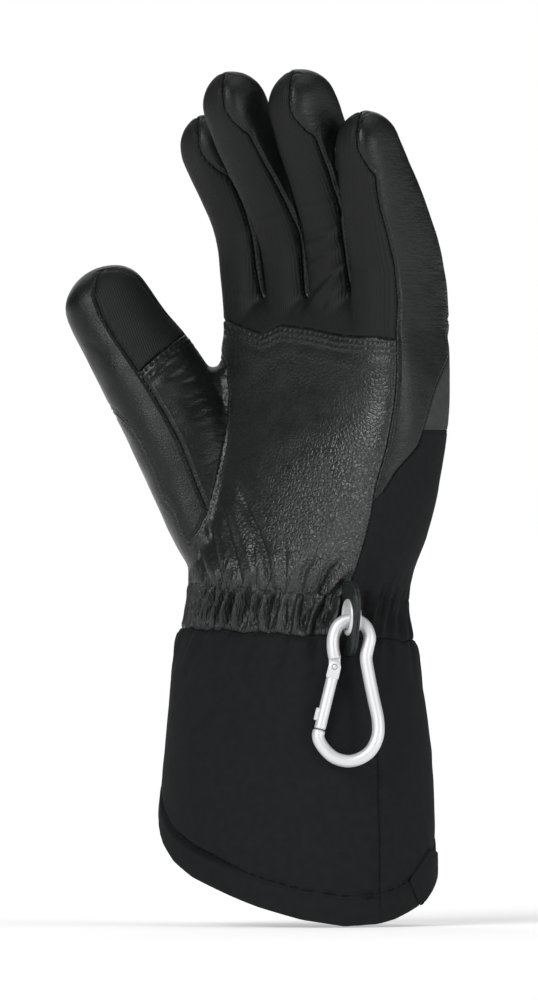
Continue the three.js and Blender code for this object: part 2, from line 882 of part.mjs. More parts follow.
add("pull_tab", pullTab, softshellBlack());
add("hang_tab", hangTab, tabLeather());
add("eyelet", eyelet, satinMetal());
add("snap_hook", snapHook, satinMetal());
add("snap_gate", snapGate, satinMetal());

export default glove;
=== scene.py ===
import math

import bpy
import numpy as np
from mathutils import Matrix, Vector
from mathutils.kdtree import KDTree


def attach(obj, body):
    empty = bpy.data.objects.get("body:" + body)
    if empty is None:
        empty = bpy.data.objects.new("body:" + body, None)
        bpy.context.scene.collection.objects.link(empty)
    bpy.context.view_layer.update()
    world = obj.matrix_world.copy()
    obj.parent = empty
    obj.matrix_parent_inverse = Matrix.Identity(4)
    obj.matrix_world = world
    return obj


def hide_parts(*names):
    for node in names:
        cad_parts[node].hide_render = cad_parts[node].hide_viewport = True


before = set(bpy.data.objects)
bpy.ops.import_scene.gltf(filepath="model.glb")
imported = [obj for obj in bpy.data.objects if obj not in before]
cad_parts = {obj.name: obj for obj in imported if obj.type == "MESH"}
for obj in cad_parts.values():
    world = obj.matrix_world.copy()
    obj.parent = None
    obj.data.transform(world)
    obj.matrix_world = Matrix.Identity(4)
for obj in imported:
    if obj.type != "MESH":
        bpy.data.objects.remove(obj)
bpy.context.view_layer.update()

MM = 0.001

# Levels in mm where panels meet, and the height over which the finger lines run
KNUCKLE = 112.0
LINE_RUN = 128
FINGER_BASE = 108
INSERT_BASE = 68.0
CUFF_SIDE = -8.0
# Stitched rows: of the gathers over the cuff seam, and of a leather band behind its edge
LOW_ROW, HIGH_ROW = -0.3, 16.8
BAND_ROWS = (1.6, 4.3)

# Sections of the hand and cuff: height, middle across, middle in depth,
# half width, half depth, squareness
HAND = [
    (-150, -0.1, 0.0, 55.2, 50.8, 2.3),
    (-95, -0.1, 0.0, 55.0, 50.6, 2.3),
    (-78, 0.0, 0.0, 54.2, 50.3, 2.3),
    (-60, 0.7, 0.0, 53.1, 49.0, 2.3),
    (-42, 0.6, 0.0, 52.0, 46.5, 2.3),
    (-24, -0.7, 0.0, 50.6, 43.0, 2.3),
    (-14, -1.2, 0.0, 49.7, 40.2, 2.3),
    (-10, -0.8, 0.0, 48.6, 38.6, 2.3),
    (-5, -0.1, 0.0, 47.6, 37.2, 2.3),
    (0, 0.8, 0.0, 47.4, 36.8, 2.3),
    (5, 1.2, 0.0, 47.6, 36.8, 2.3),
    (10, 2.0, 0.0, 48.6, 36.7, 2.3),
    (26, 5.8, 2.0, 51.6, 34.0, 2.5),
    (46, 9.1, 4.5, 53.8, 30.5, 2.7),
    (65, 11.6, 6.5, 54.1, 27.0, 3.0),
    (84, 12.9, 8.0, 52.9, 24.0, 3.6),
    (103, 12.6, 9.0, 50.7, 22.2, 4.6),
    (112, 12.2, 8.5, 49.5, 20.7, 3.8),
    (117.5, 12.2, 7.9, 48.2, 18.5, 3.0),
    (120.8, 12.2, 7.4, 46.6, 15.0, 2.7),
]
# Lower edge of the cuff: angle in degrees, height
HEM_EDGE = [
    (0, -127), (16, -122), (30, -114), (45, -106), (70, -98), (110, -90), (160, -80),
    (195, -78), (212, -82), (224, -89), (235, -97.6), (246, -104.4), (260, -110.4), (278, -115.8),
    (298, -122), (317, -127), (335, -129.6), (351, -128.8), (360, -127),
]
HEM_BAND = 12.0
# Fingers: across, depth, height, half width, half depth, depth of the front seam
FINGERS = {
    "index": [
        (-24.4, 9.2, 106, 11.9, 20.2, 9), (-24.8, 8.8, 120, 12.0, 20.4, 7),
        (-25.6, 5.6, 136, 12.1, 18.4, 5), (-26.4, -0.8, 152, 12.0, 14.6, 4.5),
        (-27.4, -10.6, 167, 11.6, 12.4, 5), (-28.4, -19.0, 180, 11.1, 12.0, 4.5),
    ],
    "middle": [
        (0.3, 9.0, 106, 11.9, 20.2, 9), (0.3, 8.2, 120, 12.0, 20.4, 6.5),
        (0.4, 3.9, 134, 12.0, 17.8, 6), (0.4, -3.9, 150, 11.8, 13.6, 6),
        (0.0, -15.6, 168, 11.8, 12.4, 5.6), (0.0, -27.3, 184, 11.6, 12.2, 5),
        (0.0, -34.5, 196.5, 11.2, 12.0, 4),
    ],
    "ring": [
        (25.0, 8.8, 106, 11.9, 20.2, 9), (25.0, 8.2, 120, 12.0, 20.4, 8),
        (25.1, 5.3, 134, 12.0, 18.4, 6), (25.4, 0.0, 150, 12.0, 16.2, 5.2),
        (26.0, -8.6, 168, 11.9, 14.6, 6.2), (26.8, -17.6, 184, 11.8, 14.0, 6),
        (27.4, -24.2, 196.5, 11.4, 13.6, 5),
    ],
    "little": [
        (49.9, 8.6, 106, 12.7, 21.6, 9.6), (49.8, 7.9, 120, 12.2, 21.7, 9.6),
        (49.9, 6.0, 134, 11.9, 20.6, 8.8), (50.2, 1.4, 148, 11.9, 18.8, 7.2),
        (50.6, -4.7, 164, 11.7, 16.0, 5), (51.0, -10.8, 180, 11.0, 12.4, 4.5),
    ],
}
FINGER_TOP = 15.5
# Lines between the fingers: across at the knuckles and at the tips
FINGER_LINES = [(-12.2, -14.3), (12.6, 13.7), (37.3, 40.9)]
# Thumb, turned 45 degrees: across, towards the front, height, half width, half depth
THUMB = [
    (-29, -6, 14, 12.5, 13), (-35.7, -9, 30, 15.4, 15), (-40.3, -12, 46, 18.0, 16),
    (-44.8, -14, 62, 20.5, 16.5), (-51.4, -17, 78, 21.4, 16.5), (-59.1, -20, 91.8, 20.5, 16),
    (-67.2, -23.5, 104, 18.9, 15.5), (-72.4, -25.5, 112.3, 18.2, 15), (-76.3, -27, 119, 17.4, 14.5),
]
THUMB_TOP = 14.5
# Outlines in the photo's plane: across, height
THUMB_OPENING = [
    (-31, 97), (-28.4, 93), (-27.6, 82.4), (-28, 71), (-29.6, 60), (-32.4, 47.6),
    (-35.6, 35.6), (-39.2, 28.4), (-43.6, 23.2), (-46, 27.2), (-48.4, 34.4), (-52.8, 39.6),
    (-57.2, 52), (-62, 62), (-66.8, 69.2), (-73, 75), (-100, 96), (-115, 110), (-100, 150), (-50, 150),
]
THUMB_FRONT = [
    (-77, 133.5), (-80.4, 129.6), (-81.2, 122.4), (-78.4, 114), (-72.8, 104.8), (-66.8, 96.4),
    (-60, 86.4), (-52.8, 74.4), (-46.8, 63.2), (-42.8, 52.8), (-39.2, 43.6), (-35.6, 35.6),
    (-34, 20), (-15, 20), (-15, 133.5),
]
THUMB_TIP = [
    (-120, 60), (-63.2, 91.6), (-55, 99.2), (-45.2, 106.4), (-20, 122), (-20, 170), (-120, 170),
]
# Edge of the palm: height, depth
PALM_EDGE = [
    (-16, -18), (0, -16.8), (9.6, -15.6), (28.4, -14.4), (45, -13.6), (60, -10.6), (84, -7.1), (103, -5.4),
    (125, -4),
]
# Lower edge of the side panel: depth, height
SIDE_EDGE = [
    (-14.5, 39), (-10.5, 43), (-6.4, 51), (3.1, 61.5), (8.9, 77), (13.3, 85.5), (18, 91), (24, 97),
    (26, 112),
]
# Upper edge of the palm in the photo's plane: across, height
BAND_EDGE = [
    (-60, 112), (-28.8, 112), (-14, 106.4), (-6.8, 110), (4.8, 108.4), (17.6, 105.6),
    (40.4, 103.6), (70, 103.6),
]
ROOT2 = math.sqrt(0.5)


def pchip(x, y, xs):
    """Smooth curve through the rows y at x, without overshoot."""
    x, y = np.asarray(x, float), np.asarray(y, float)
    h = np.diff(x)[:, None]
    d = np.diff(y, axis=0) / h
    m = np.zeros_like(y)
    m[0], m[-1] = d[0], d[-1]
    same = d[:-1] * d[1:] > 0
    w1, w2 = 2 * h[1:] + h[:-1], h[1:] + 2 * h[:-1]
    with np.errstate(divide="ignore", invalid="ignore"):
        mean = (w1 + w2) / (w1 / d[:-1] + w2 / d[1:])
    m[1:-1] = np.where(same, mean, 0)
    i = np.clip(np.searchsorted(x, xs) - 1, 0, len(x) - 2)
    t = ((xs - x[i]) / (x[i + 1] - x[i]))[:, None]
    hi = h[i]
    return (
        (2 * t**3 - 3 * t**2 + 1) * y[i]
        + (t**3 - 2 * t**2 + t) * hi * m[i]
        + (-2 * t**3 + 3 * t**2) * y[i + 1]
        + (t**3 - t**2) * hi * m[i + 1]
    )


def round_square(count, n):
    a = np.arange(count) / count * 2 * np.pi
    c, s = np.cos(a), np.sin(a)
    return np.sign(c) * np.abs(c) ** (2 / n), np.sign(s) * np.abs(s) ** (2 / n)


def loft(rings):
    """Closed mesh through rings of equal length."""
    rings = [np.asarray(r) for r in rings]
    n, k = len(rings[0]), len(rings)
    verts = list(np.concatenate(rings)) + [rings[0].mean(0), rings[-1].mean(0)]
    faces = []
    for r in range(k - 1):
        for i in range(n):
            j = (i + 1) % n
            faces.append((r * n + i, r * n + j, (r + 1) * n + j, (r + 1) * n + i))
    for i in range(n):
        j = (i + 1) % n
        faces.append((k * n, j, i))
        faces.append((k * n + 1, (k - 1) * n + i, (k - 1) * n + j))
    return np.array(verts), faces


def hand_body():
    rows = np.array(HAND)
    zs = np.concatenate([np.arange(-149, 119, 1.5), [119.5, 120.3, 120.8]])
    cols = pchip(rows[:, 0], rows[:, 1:], zs)
    rings = []
    for z, (x, y, a, b, n) in zip(zs, cols):
        u, v = round_square(96, n)
        rings.append(np.stack([x + a * u, y + b * v, np.full(96, z)], 1))
    return loft(rings)


def frames_of(points, across):
    """Tangents and the two section directions along a path."""
    p = np.asarray(points, float)
    t = np.gradient(p, axis=0)
    t /= np.linalg.norm(t, axis=1)[:, None]
    u = across - (t @ across)[:, None] * t
    u /= np.linalg.norm(u, axis=1)[:, None]
    return p, t, u, np.cross(t, u)


def lengths(points, power=1):
    """Length along a line at each of its points."""
    steps = np.linalg.norm(np.diff(points, axis=0), axis=1)
    return np.concatenate([[0], np.cumsum(steps**power)])


def smooth_path(points, extra, across, count):
    p = np.asarray(points, float)
    run = lengths(p)
    at = np.linspace(0, run[-1], count)
    out = pchip(run, np.hstack([p, extra]), at)
    return frames_of(out[:, :3], across), out[:, 3:]


def stall(path, sizes, top, n):
    p, t, u, v = path
    cu, cv = round_square(48, n)
    rings = [
        p[i] + np.outer(cu * sizes[i][0], u[i]) + np.outer(cv * sizes[i][1], v[i])
        for i in range(len(p))
    ]
    for k in range(1, 9):
        a = k / 8.6 * math.pi / 2
        q = p[-1] + t[-1] * top * math.sin(a)
        c = math.cos(a)
        rings.append(
            q + np.outer(cu * sizes[-1][0] * c, u[-1]) + np.outer(cv * sizes[-1][1] * c, v[-1])
        )
    return loft(rings)


X_AXIS = np.array([1.0, 0, 0])
TURNED = np.array([ROOT2, ROOT2, 0])


def turned(s, d, z):
    """Point from the directions of the photo's plane."""
    return np.array([(s + d) * ROOT2, (s - d) * ROOT2, z])


# Level camera, 45 degrees round from the palm towards the little finger
cam = bpy.data.objects.new("camera", bpy.data.cameras.new("camera"))
bpy.context.scene.collection.objects.link(cam)
CAMERA_FAR = 9.0
PICTURE_HEIGHT = 0.4
SENSOR = 24
cam.location = turned(-11.2, CAMERA_FAR / MM, 40) * MM
cam.rotation_euler = (math.radians(90), 0, math.radians(45))
cam.data.sensor_fit = "VERTICAL"
cam.data.sensor_height = SENSOR
cam.data.lens = SENSOR * CAMERA_FAR / PICTURE_HEIGHT
cam.data.clip_end = 100
bpy.context.scene.camera = cam


finger_paths = {}
for name, rows in FINGERS.items():
    r = np.array(rows, float)
    finger_paths[name] = smooth_path(r[:, :3], r[:, 3:], X_AXIS, 40)
thumb_rows = np.array(THUMB, float)
thumb_path = smooth_path(
    [turned(s, d, z) for s, d, z in thumb_rows[:, :3]], thumb_rows[:, 3:], TURNED, 48
)


def new_mesh(name, verts, faces):
    me = bpy.data.meshes.new(name)
    me.from_pydata([tuple(v) for v in verts], [], [tuple(f) for f in faces])
    me.update()
    return me


def new_object(name, me):
    ob = bpy.data.objects.new(name, me)
    bpy.context.scene.collection.objects.link(ob)
    return ob


def joined(parts):
    """One mesh out of several."""
    verts, faces, base = [], [], 0
    for v, f in parts:
        verts.append(v)
        faces += [tuple(i + base for i in g) for g in f]
        base += len(v)
    return np.concatenate(verts), faces


def web():
    """Rounded filling between the thumb and the hand."""
    centre, side, front, up = turned(-32, -18, 84), turned(8.5, 0, 0), turned(0, 9, 0), (0, 0, 9.4)
    c, s = round_square(32, 2)
    rings = []
    for a in np.linspace(-1.5, 1.5, 14):
        flat = centre + np.outer(c * math.cos(a), side) + np.outer(s * math.cos(a), front)
        rings.append(flat + np.array(up) * math.sin(a))
    return loft(rings)


def skin_mesh(voxel):
    """One outer skin over hand, fingers and thumb, as vertices and triangles in mm."""
    parts = [hand_body()]
    for path, extra in finger_paths.values():
        parts.append(stall(path, extra[:, :2], FINGER_TOP, 3.0))
    parts.append(stall(thumb_path[0], thumb_path[1][:, :2], THUMB_TOP, 2.4))
    parts.append(web())
    ob = new_object("skin_work", new_mesh("skin_work", *joined(parts)))
    mod = ob.modifiers.new("remesh", "REMESH")
    mod.mode = "VOXEL"
    mod.voxel_size = voxel
    smooth = ob.modifiers.new("smooth", "SMOOTH")
    smooth.factor = 0.5
    smooth.iterations = 10
    dep = bpy.context.evaluated_depsgraph_get()
    me = ob.evaluated_get(dep).to_mesh()
    me.calc_loop_triangles()
    v = np.empty(len(me.vertices) * 3)
    me.vertices.foreach_get("co", v)
    t = np.empty(len(me.loop_triangles) * 3, dtype=np.int32)
    me.loop_triangles.foreach_get("vertices", t)
    ob.evaluated_get(dep).to_mesh_clear()
    bpy.data.objects.remove(ob)
    return v.reshape(-1, 3), t.reshape(-1, 3)


def split(verts, tris, value):
    """Cuts the triangles where the value changes sign."""
    f = value(verts)
    f = np.where(np.abs(f) < 0.1, 0.0, f)
    s = np.sign(f)[tris]
    crossing = (s.max(1) > 0) & (s.min(1) < 0)
    keep, cut = tris[~crossing], tris[crossing]
    if not len(cut):
        return verts, tris
    extra, index, out = [], {}, []

    def middle(a, b):
        key = (a, b) if a < b else (b, a)
        if key not in index:
            w = f[key[0]] / (f[key[0]] - f[key[1]])
            index[key] = len(verts) + len(extra)
            extra.append(verts[key[0]] * (1 - w) + verts[key[1]] * w)
        return index[key]

    for tri in cut.tolist():
        for _ in range(3):
            a, b, c = tri
            if f[a] * f[b] < 0 and f[a] * f[c] < 0:
                ab, ac = middle(a, b), middle(a, c)
                out += [(a, ab, ac), (ab, b, c), (ab, c, ac)]
                break
            if f[a] == 0 and f[b] * f[c] < 0:
                bc = middle(b, c)
                out += [(a, b, bc), (a, bc, c)]
                break
            tri = [b, c, a]
    return np.vstack([verts, extra]), np.vstack([keep, np.array(out, dtype=np.int32)])


def sd(v):
    return (v[:, 0] + v[:, 1]) * ROOT2, (v[:, 0] - v[:, 1]) * ROOT2


def inside(points, polygon):
    """Distance to the outline, positive inside."""
    p = np.asarray(polygon, float)
    best = np.full(len(points), 1e9)
    inner = np.zeros(len(points), bool)
    for a, b in zip(p, np.roll(p, -1, axis=0)):
        e = b - a
        w = points - a
        k = np.clip((w @ e) / (e @ e), 0, 1)[:, None]
        best = np.minimum(best, np.linalg.norm(w - k * e, axis=1))
        hit = (a[1] > points[:, 1]) != (b[1] > points[:, 1])
        with np.errstate(divide="ignore", invalid="ignore"):
            x = a[0] + (points[:, 1] - a[1]) / (b[1] - a[1]) * (b[0] - a[0])
        inner ^= hit & (points[:, 0] < x)
    return np.where(inner, best, -best)


def in_photo(v, outline):
    """Distance to an outline in the photo's plane, positive inside."""
    return inside(np.stack([sd(v)[0], v[:, 2]], 1), outline)


def table(xs, rows):
    r = np.array(rows, float)
    return np.interp(xs, r[:, 0], r[:, 1])


def hem_height(v):
    a = np.degrees(np.arctan2(v[:, 1], v[:, 0])) % 360
    return table(a, HEM_EDGE)


def f_hem(v):
    return v[:, 2] - hem_height(v)


def f_band(v):
    return v[:, 2] - hem_height(v) - HEM_BAND


def cuff_level(v):
    a = np.arctan2(v[:, 1], v[:, 0])
    uneven = 0.35 * np.sin(11 * a + 1) + 0.3 * np.sin(19 * a) + 0.2 * np.sin(31 * a + 2)
    return -13.4 - 0.055 * sd(v)[0] + uneven


def f_cuff(v):
    return v[:, 2] - cuff_level(v)


def f_cuff_side(v):
    return CUFF_SIDE - v[:, 1]


def finger_of(v):
    i = np.zeros(len(v), int)
    t = np.clip((v[:, 2] - KNUCKLE) / LINE_RUN, 0, 1)
    for low, high in FINGER_LINES:
        i += v[:, 0] > low + (high - low) * t
    return i


def on_path(q, path, extra):
    """Coordinates across and through a path, along past its end, and the sizes there."""
    p, t, u, w = path
    near = np.argmin(((q[:, None, :] - p[None, ::2, :]) ** 2).sum(2), axis=1) * 2
    step = np.linalg.norm(p[1] - p[0])
    for _ in range(2):
        i = np.clip(near, 0, len(p) - 1.001)
        k = i.astype(int)
        f = (i - k)[:, None]
        at = [c[k] * (1 - f) + c[k + 1] * f for c in (p, t, u, w, extra)]
        near = i + ((q - at[0]) * at[1]).sum(1) / step
    r = q - at[0]
    return (r * at[2]).sum(1), (r * at[3]).sum(1), ((q - p[-1]) * t[-1]).sum(1), at[4]


# Share of a finger's half width that its ribbed front takes, by distance from the last joint
TIP_RIGHT = [
    (-12, 0.93), (-8, 0.87), (-4, 0.75), (0, 0.6), (4, 0.47), (8, 0.41), (12, 0.36), (14.5, 0.22),
    (16, 0),
]
TIP_LEFT = [(-12, 0.95), (8, 0.9), (12, 0.75), (14.5, 0.5), (16, 0)]


def f_front(v):
    """Positive on the palm side of the hand and the ribbed side of the fingers."""
    body = table(v[:, 2], PALM_EDGE) - v[:, 1]
    which = finger_of(v)
    out = body.copy()
    for i, (path, extra) in enumerate(finger_paths.values()):
        sel = (which == i) & (v[:, 2] > FINGER_BASE)
        if not sel.any():
            continue
        q = v[sel]
        across, through_, past, ex = on_path(q, path, extra)
        f = ex[:, 2] + np.where(across < 0, 5, 0) - ex[:, 1] - through_
        share = np.where(across > 0, table(past, TIP_RIGHT), table(past, TIP_LEFT))
        tip = np.minimum(share * ex[:, 0] - np.abs(across), -through_ + np.where(across < 0, 2, 0))
        blend = np.clip((past + 12) / 6, 0, 1)
        f = f * (1 - blend) + tip * blend
        mix = np.clip((q[:, 2] - FINGER_BASE) / 10, 0, 1)
        out[sel] = body[sel] * (1 - mix) + f * mix
    return out


def f_cloth(v):
    return v[:, 2] - table(sd(v)[0], BAND_EDGE)


def f_knuckle(v):
    return v[:, 2] - KNUCKLE


def f_insert(v):
    return v[:, 2] - INSERT_BASE


def f_side(v):
    return np.where(v[:, 0] > 20, v[:, 2] - table(v[:, 1], SIDE_EDGE), -5.0)


def thumb_local(v):
    """Share of the thumb's radius: 1 on its surface."""
    across, through_, past, ex = on_path(v, *thumb_path)
    a, b = np.abs(across / ex[:, 0]), np.abs(through_ / ex[:, 1])
    return (a**2.4 + b**2.4) ** (1 / 2.4)


def f_thumb(v):
    s, d = sd(v)
    tube = np.where((s > -38) & (v[:, 2] > 64) & (d > -24), 10, (1.3 - thumb_local(v)) * 15)
    return np.minimum(in_photo(v, THUMB_OPENING), np.maximum(tube, d + 4))


def f_thumb_front(v):
    return np.minimum(in_photo(v, THUMB_FRONT), sd(v)[1] + 20)


def f_thumb_tip(v):
    return in_photo(v, THUMB_TIP)


def f_line(k):
    low, high = FINGER_LINES[k]
    return lambda v: v[:, 0] - (low + (high - low) * (v[:, 2] - KNUCKLE) / LINE_RUN)


# Panels and their slots
PANELS = {
    "palm": "leather", "finger_front": "ribbed_cloth", "index_wrap": "leather",
    "middle_wrap": "leather", "ring_wrap": "leather", "side_panel": "leather",
    "thumb_pad": "ribbed_cloth", "thumb_base": "leather", "thumb_wrap": "leather",
    "back_insert": "grey_cloth", "back_shell": "softshell", "cuff_front": "softshell",
    "cuff_back": "softshell", "hem_band": "softshell",
}
(PALM, CLOTH, WRAP0, WRAP1, WRAP2, SIDE, PAD, BASE, TWRAP, INSERT, BACK, CUFF_F, CUFF_B,
 HEM) = range(len(PANELS))


def label(v):
    out = np.full(len(v), BACK)
    above = f_cuff(v) > 0
    front = f_front(v) > 0
    out[~front & (f_insert(v) > 0)] = INSERT
    out[~front & (f_side(v) > 0) & (v[:, 0] > 20)] = SIDE
    up = ~front & (f_knuckle(v) > 0)
    which = finger_of(v)
    for i, lab in enumerate((WRAP0, WRAP1, WRAP2, SIDE)):
        out[up & (which == i)] = lab
    out[front] = PALM
    out[front & (f_cloth(v) > 0)] = CLOTH
    thumb = f_thumb(v) > 0
    tfront = f_thumb_front(v) > 0
    tip = f_thumb_tip(v) > 0
    out[thumb & ~tfront] = TWRAP
    out[thumb & tfront & tip] = PAD
    out[thumb & tfront & ~tip] = BASE
    out[~above] = np.where(f_cuff_side(v[~above]) > 0, CUFF_F, CUFF_B)
    out[~above & (f_band(v) < 0)] = HEM
    return out


def vertex_normals(v, t):
    n = np.cross(v[t[:, 1]] - v[t[:, 0]], v[t[:, 2]] - v[t[:, 0]])
    out = np.zeros_like(v)
    for k in range(3):
        np.add.at(out, t[:, k], n)
    return out / np.maximum(np.linalg.norm(out, axis=1), 1e-9)[:, None]


VOXEL = 1.25
V, T = skin_mesh(VOXEL)
for cut in (f_hem, f_band, f_cuff, f_cuff_side, f_front, f_cloth, f_knuckle, f_insert, f_side,
            f_thumb, f_thumb_front, f_thumb_tip, f_line(0), f_line(1), f_line(2)):
    V, T = split(V, T, cut)
centre = V[T].mean(1)
keep = f_hem(centre) > 0
T = T[keep]
LAB = label(centre[keep])
used = np.unique(T)
remap = np.full(len(V), -1)
remap[used] = np.arange(len(used))
V, T = V[used], remap[T]


def all_edges(t):
    return np.concatenate([t[:, [0, 1]], t[:, [1, 2]], t[:, [2, 0]]])


def open_edges(t, count):
    """Edges that only one triangle has, in its direction."""
    e = all_edges(t).astype(np.int64)
    code, back = e[:, 0] * count + e[:, 1], e[:, 1] * count + e[:, 0]
    return e[~np.isin(code, back)]


def seam_of(t, lab):
    """Vertices on the border between two labels, with the two labels."""
    e, l = np.sort(all_edges(t), 1), np.tile(lab, 3)
    order = np.lexsort((e[:, 1], e[:, 0]))
    e, l = e[order], l[order]
    border = (e[1:] == e[:-1]).all(1) & (l[1:] != l[:-1])
    ends = e[:-1][border].ravel()
    pair = np.repeat(np.stack([l[:-1][border], l[1:][border]], 1), 2, axis=0)
    pair.sort(axis=1)
    return ends, pair


def distances(points, seeds):
    tree = KDTree(len(seeds))
    for i, p in enumerate(seeds):
        tree.insert(p, i)
    tree.balance()
    found = [tree.find(p)[1:] for p in points]
    return np.array([f[1] for f in found]), np.array([f[0] for f in found])


middle_of = {}


def refine(v, t, lab, size):
    """Halves the edges that are longer than the wanted size, keeping the mesh whole."""
    e = np.sort(all_edges(t), 1).astype(np.int64)
    code, back = np.unique(e[:, 0] * len(v) + e[:, 1], return_inverse=True)
    a, b = code // len(v), code % len(v)
    long = np.linalg.norm(v[a] - v[b], axis=1) > 1.4 * (size[a] + size[b]) / 2
    number = np.where(long, len(v) + np.cumsum(long) - 1, -1)
    middle_of.update(zip(zip(a[long].tolist(), b[long].tolist()), number[long].tolist()))
    v = np.vstack([v, (v[a[long]] + v[b[long]]) / 2])
    size = np.concatenate([size, (size[a[long]] + size[b[long]]) / 2])
    m = number[back].reshape(3, -1).T
    count = (m >= 0).sum(1)
    out, out_lab = [t[count == 0]], [lab[count == 0]]

    def add(rows, where):
        out.append(np.stack(rows, 1))
        out_lab.append(lab[where])

    for k in range(3):
        i0, i1, i2 = k, (k + 1) % 3, (k + 2) % 3
        w = np.flatnonzero((count == 1) & (m[:, i0] >= 0))
        p, q, r, x = t[w, i0], t[w, i1], t[w, i2], m[w, i0]
        add((p, x, r), w)
        add((x, q, r), w)
        w = np.flatnonzero((count == 2) & (m[:, i2] < 0))
        p, q, r, x, y = t[w, i0], t[w, i1], t[w, i2], m[w, i0], m[w, i1]
        add((x, q, y), w)
        add((p, x, y), w)
        add((p, y, r), w)
    w = np.flatnonzero(count == 3)
    p, q, r = t[w].T
    x, y, z = m[w].T
    for rows in ((p, x, z), (x, q, y), (z, y, r), (x, y, z)):
        add(rows, w)
    return v, np.vstack(out), np.concatenate(out_lab), size


def chain(a, b):
    """Vertices from a to b along an edge, after all halvings."""
    m = middle_of.get((a, b) if a < b else (b, a))
    return [a] if m is None else chain(a, m) + chain(m, b)


def smoothed(v, t, rounds):
    """Evens the surface without shrinking it. The open edge moves only along itself."""
    e = np.sort(all_edges(t), 1)
    e, shared = np.unique(e, axis=0, return_counts=True)
    rim = np.zeros(len(v), bool)
    rim[e[shared == 1]] = True
    use = (shared == 1) | ~(rim[e[:, 0]] | rim[e[:, 1]])
    half = (shared == 2) & (rim[e[:, 0]] ^ rim[e[:, 1]])
    pairs = np.concatenate([e[use], e[use][:, ::-1]])
    h = e[half]
    inner_first = np.where(rim[h[:, 0]][:, None], h[:, ::-1], h)
    pairs = np.concatenate([pairs, inner_first])
    n = np.maximum(np.bincount(pairs[:, 0], minlength=len(v)), 1)[:, None]
    for k in range(rounds * 2):
        mean = np.stack(
            [np.bincount(pairs[:, 0], v[pairs[:, 1], c], len(v)) for c in range(3)], 1
        ) / n
        v = v + (mean - v) * (0.5 if k % 2 == 0 else -0.51)
    return v


LEATHER = (PALM, WRAP0, WRAP1, WRAP2, SIDE, BASE, TWRAP)
level_base = f_cuff(V)
seam_ids, seam_pairs = seam_of(T, LAB)
near, _ = distances(V, V[seam_ids])
# Wanted length of the edges in mm: short at the seams and the wrist
size = np.full(len(V), 1.7)
size[V[:, 2] > 22] = 1.15
wrist = (level_base > -5) & (level_base < 24)
front_side = (V[:, 0] - V[:, 1]) > -5
size[wrist] = 0.75
size[wrist & front_side] = 0.55
size[(level_base >= 24) & (level_base < 50) & front_side] = 0.85
size = np.minimum(size, np.where(near < 3.2, 0.55, 0.55 + (near - 3.2) * 0.35))
size = np.maximum(size, 0.5)
base_T, base_LAB, base_count = T, LAB, len(V)
for _ in range(2):
    V, T, LAB, size = refine(V, T, LAB, size)
V = smoothed(V, T, 3)
V0, N0 = V, vertex_normals(V, T)
seam_ids, seam_pairs = seam_of(T, LAB)
to_seam, which_seam = distances(V, V[seam_ids])
vertex_label = np.zeros(len(V), int)
vertex_label[T.ravel()] = np.repeat(LAB, 3)
S, D = sd(V)
Z = V[:, 2]
facing = (N0[:, 0] - N0[:, 1]) * ROOT2
level = f_cuff(V)


def value_noise(p, seed):
    """Smooth noise from -1 to 1 with cells of size 1."""
    i = np.floor(p)
    f = p - i
    f = f * f * (3 - 2 * f)
    total = np.zeros(len(p))
    for dx in (0, 1):
        for dy in (0, 1):
            for dz in (0, 1):
                q = i + (dx, dy, dz)
                h = np.sin(q @ (127.1, 311.7, 74.7) + seed * 17.17) * 43758.5453
                w = 1.0
                for k, d in enumerate((dx, dy, dz)):
                    w = w * (f[:, k] if d else 1 - f[:, k])
                total += w * (h - np.floor(h))
    return total * 2 - 1


def flat_noise(x, y, seed, layer=0.0):
    return value_noise(np.stack([x, y, np.full(len(x), layer)], 1), seed)


def bump(x, low, high, soft):
    """1 between low and high, 0 outside, with soft steps."""
    return 1 / (1 + np.exp(-(x - low) / soft)) / (1 + np.exp((x - high) / soft))


def to_line(s, z, line):
    """Distance from points to a line of points in the photo's plane, and the share along it."""
    p = np.asarray(line, float)
    run = lengths(p)
    best, at = np.full(len(s), 1e9), np.zeros(len(s))
    for k in range(len(p) - 1):
        e = p[k + 1] - p[k]
        w = np.clip(((s - p[k][0]) * e[0] + (z - p[k][1]) * e[1]) / (e @ e), 0, 1)
        d = np.hypot(s - p[k][0] - w * e[0], z - p[k][1] - w * e[1])
        closer = d < best
        best = np.where(closer, d, best)
        at = np.where(closer, (run[k] + w * (run[k + 1] - run[k])) / run[-1], at)
    return best, at


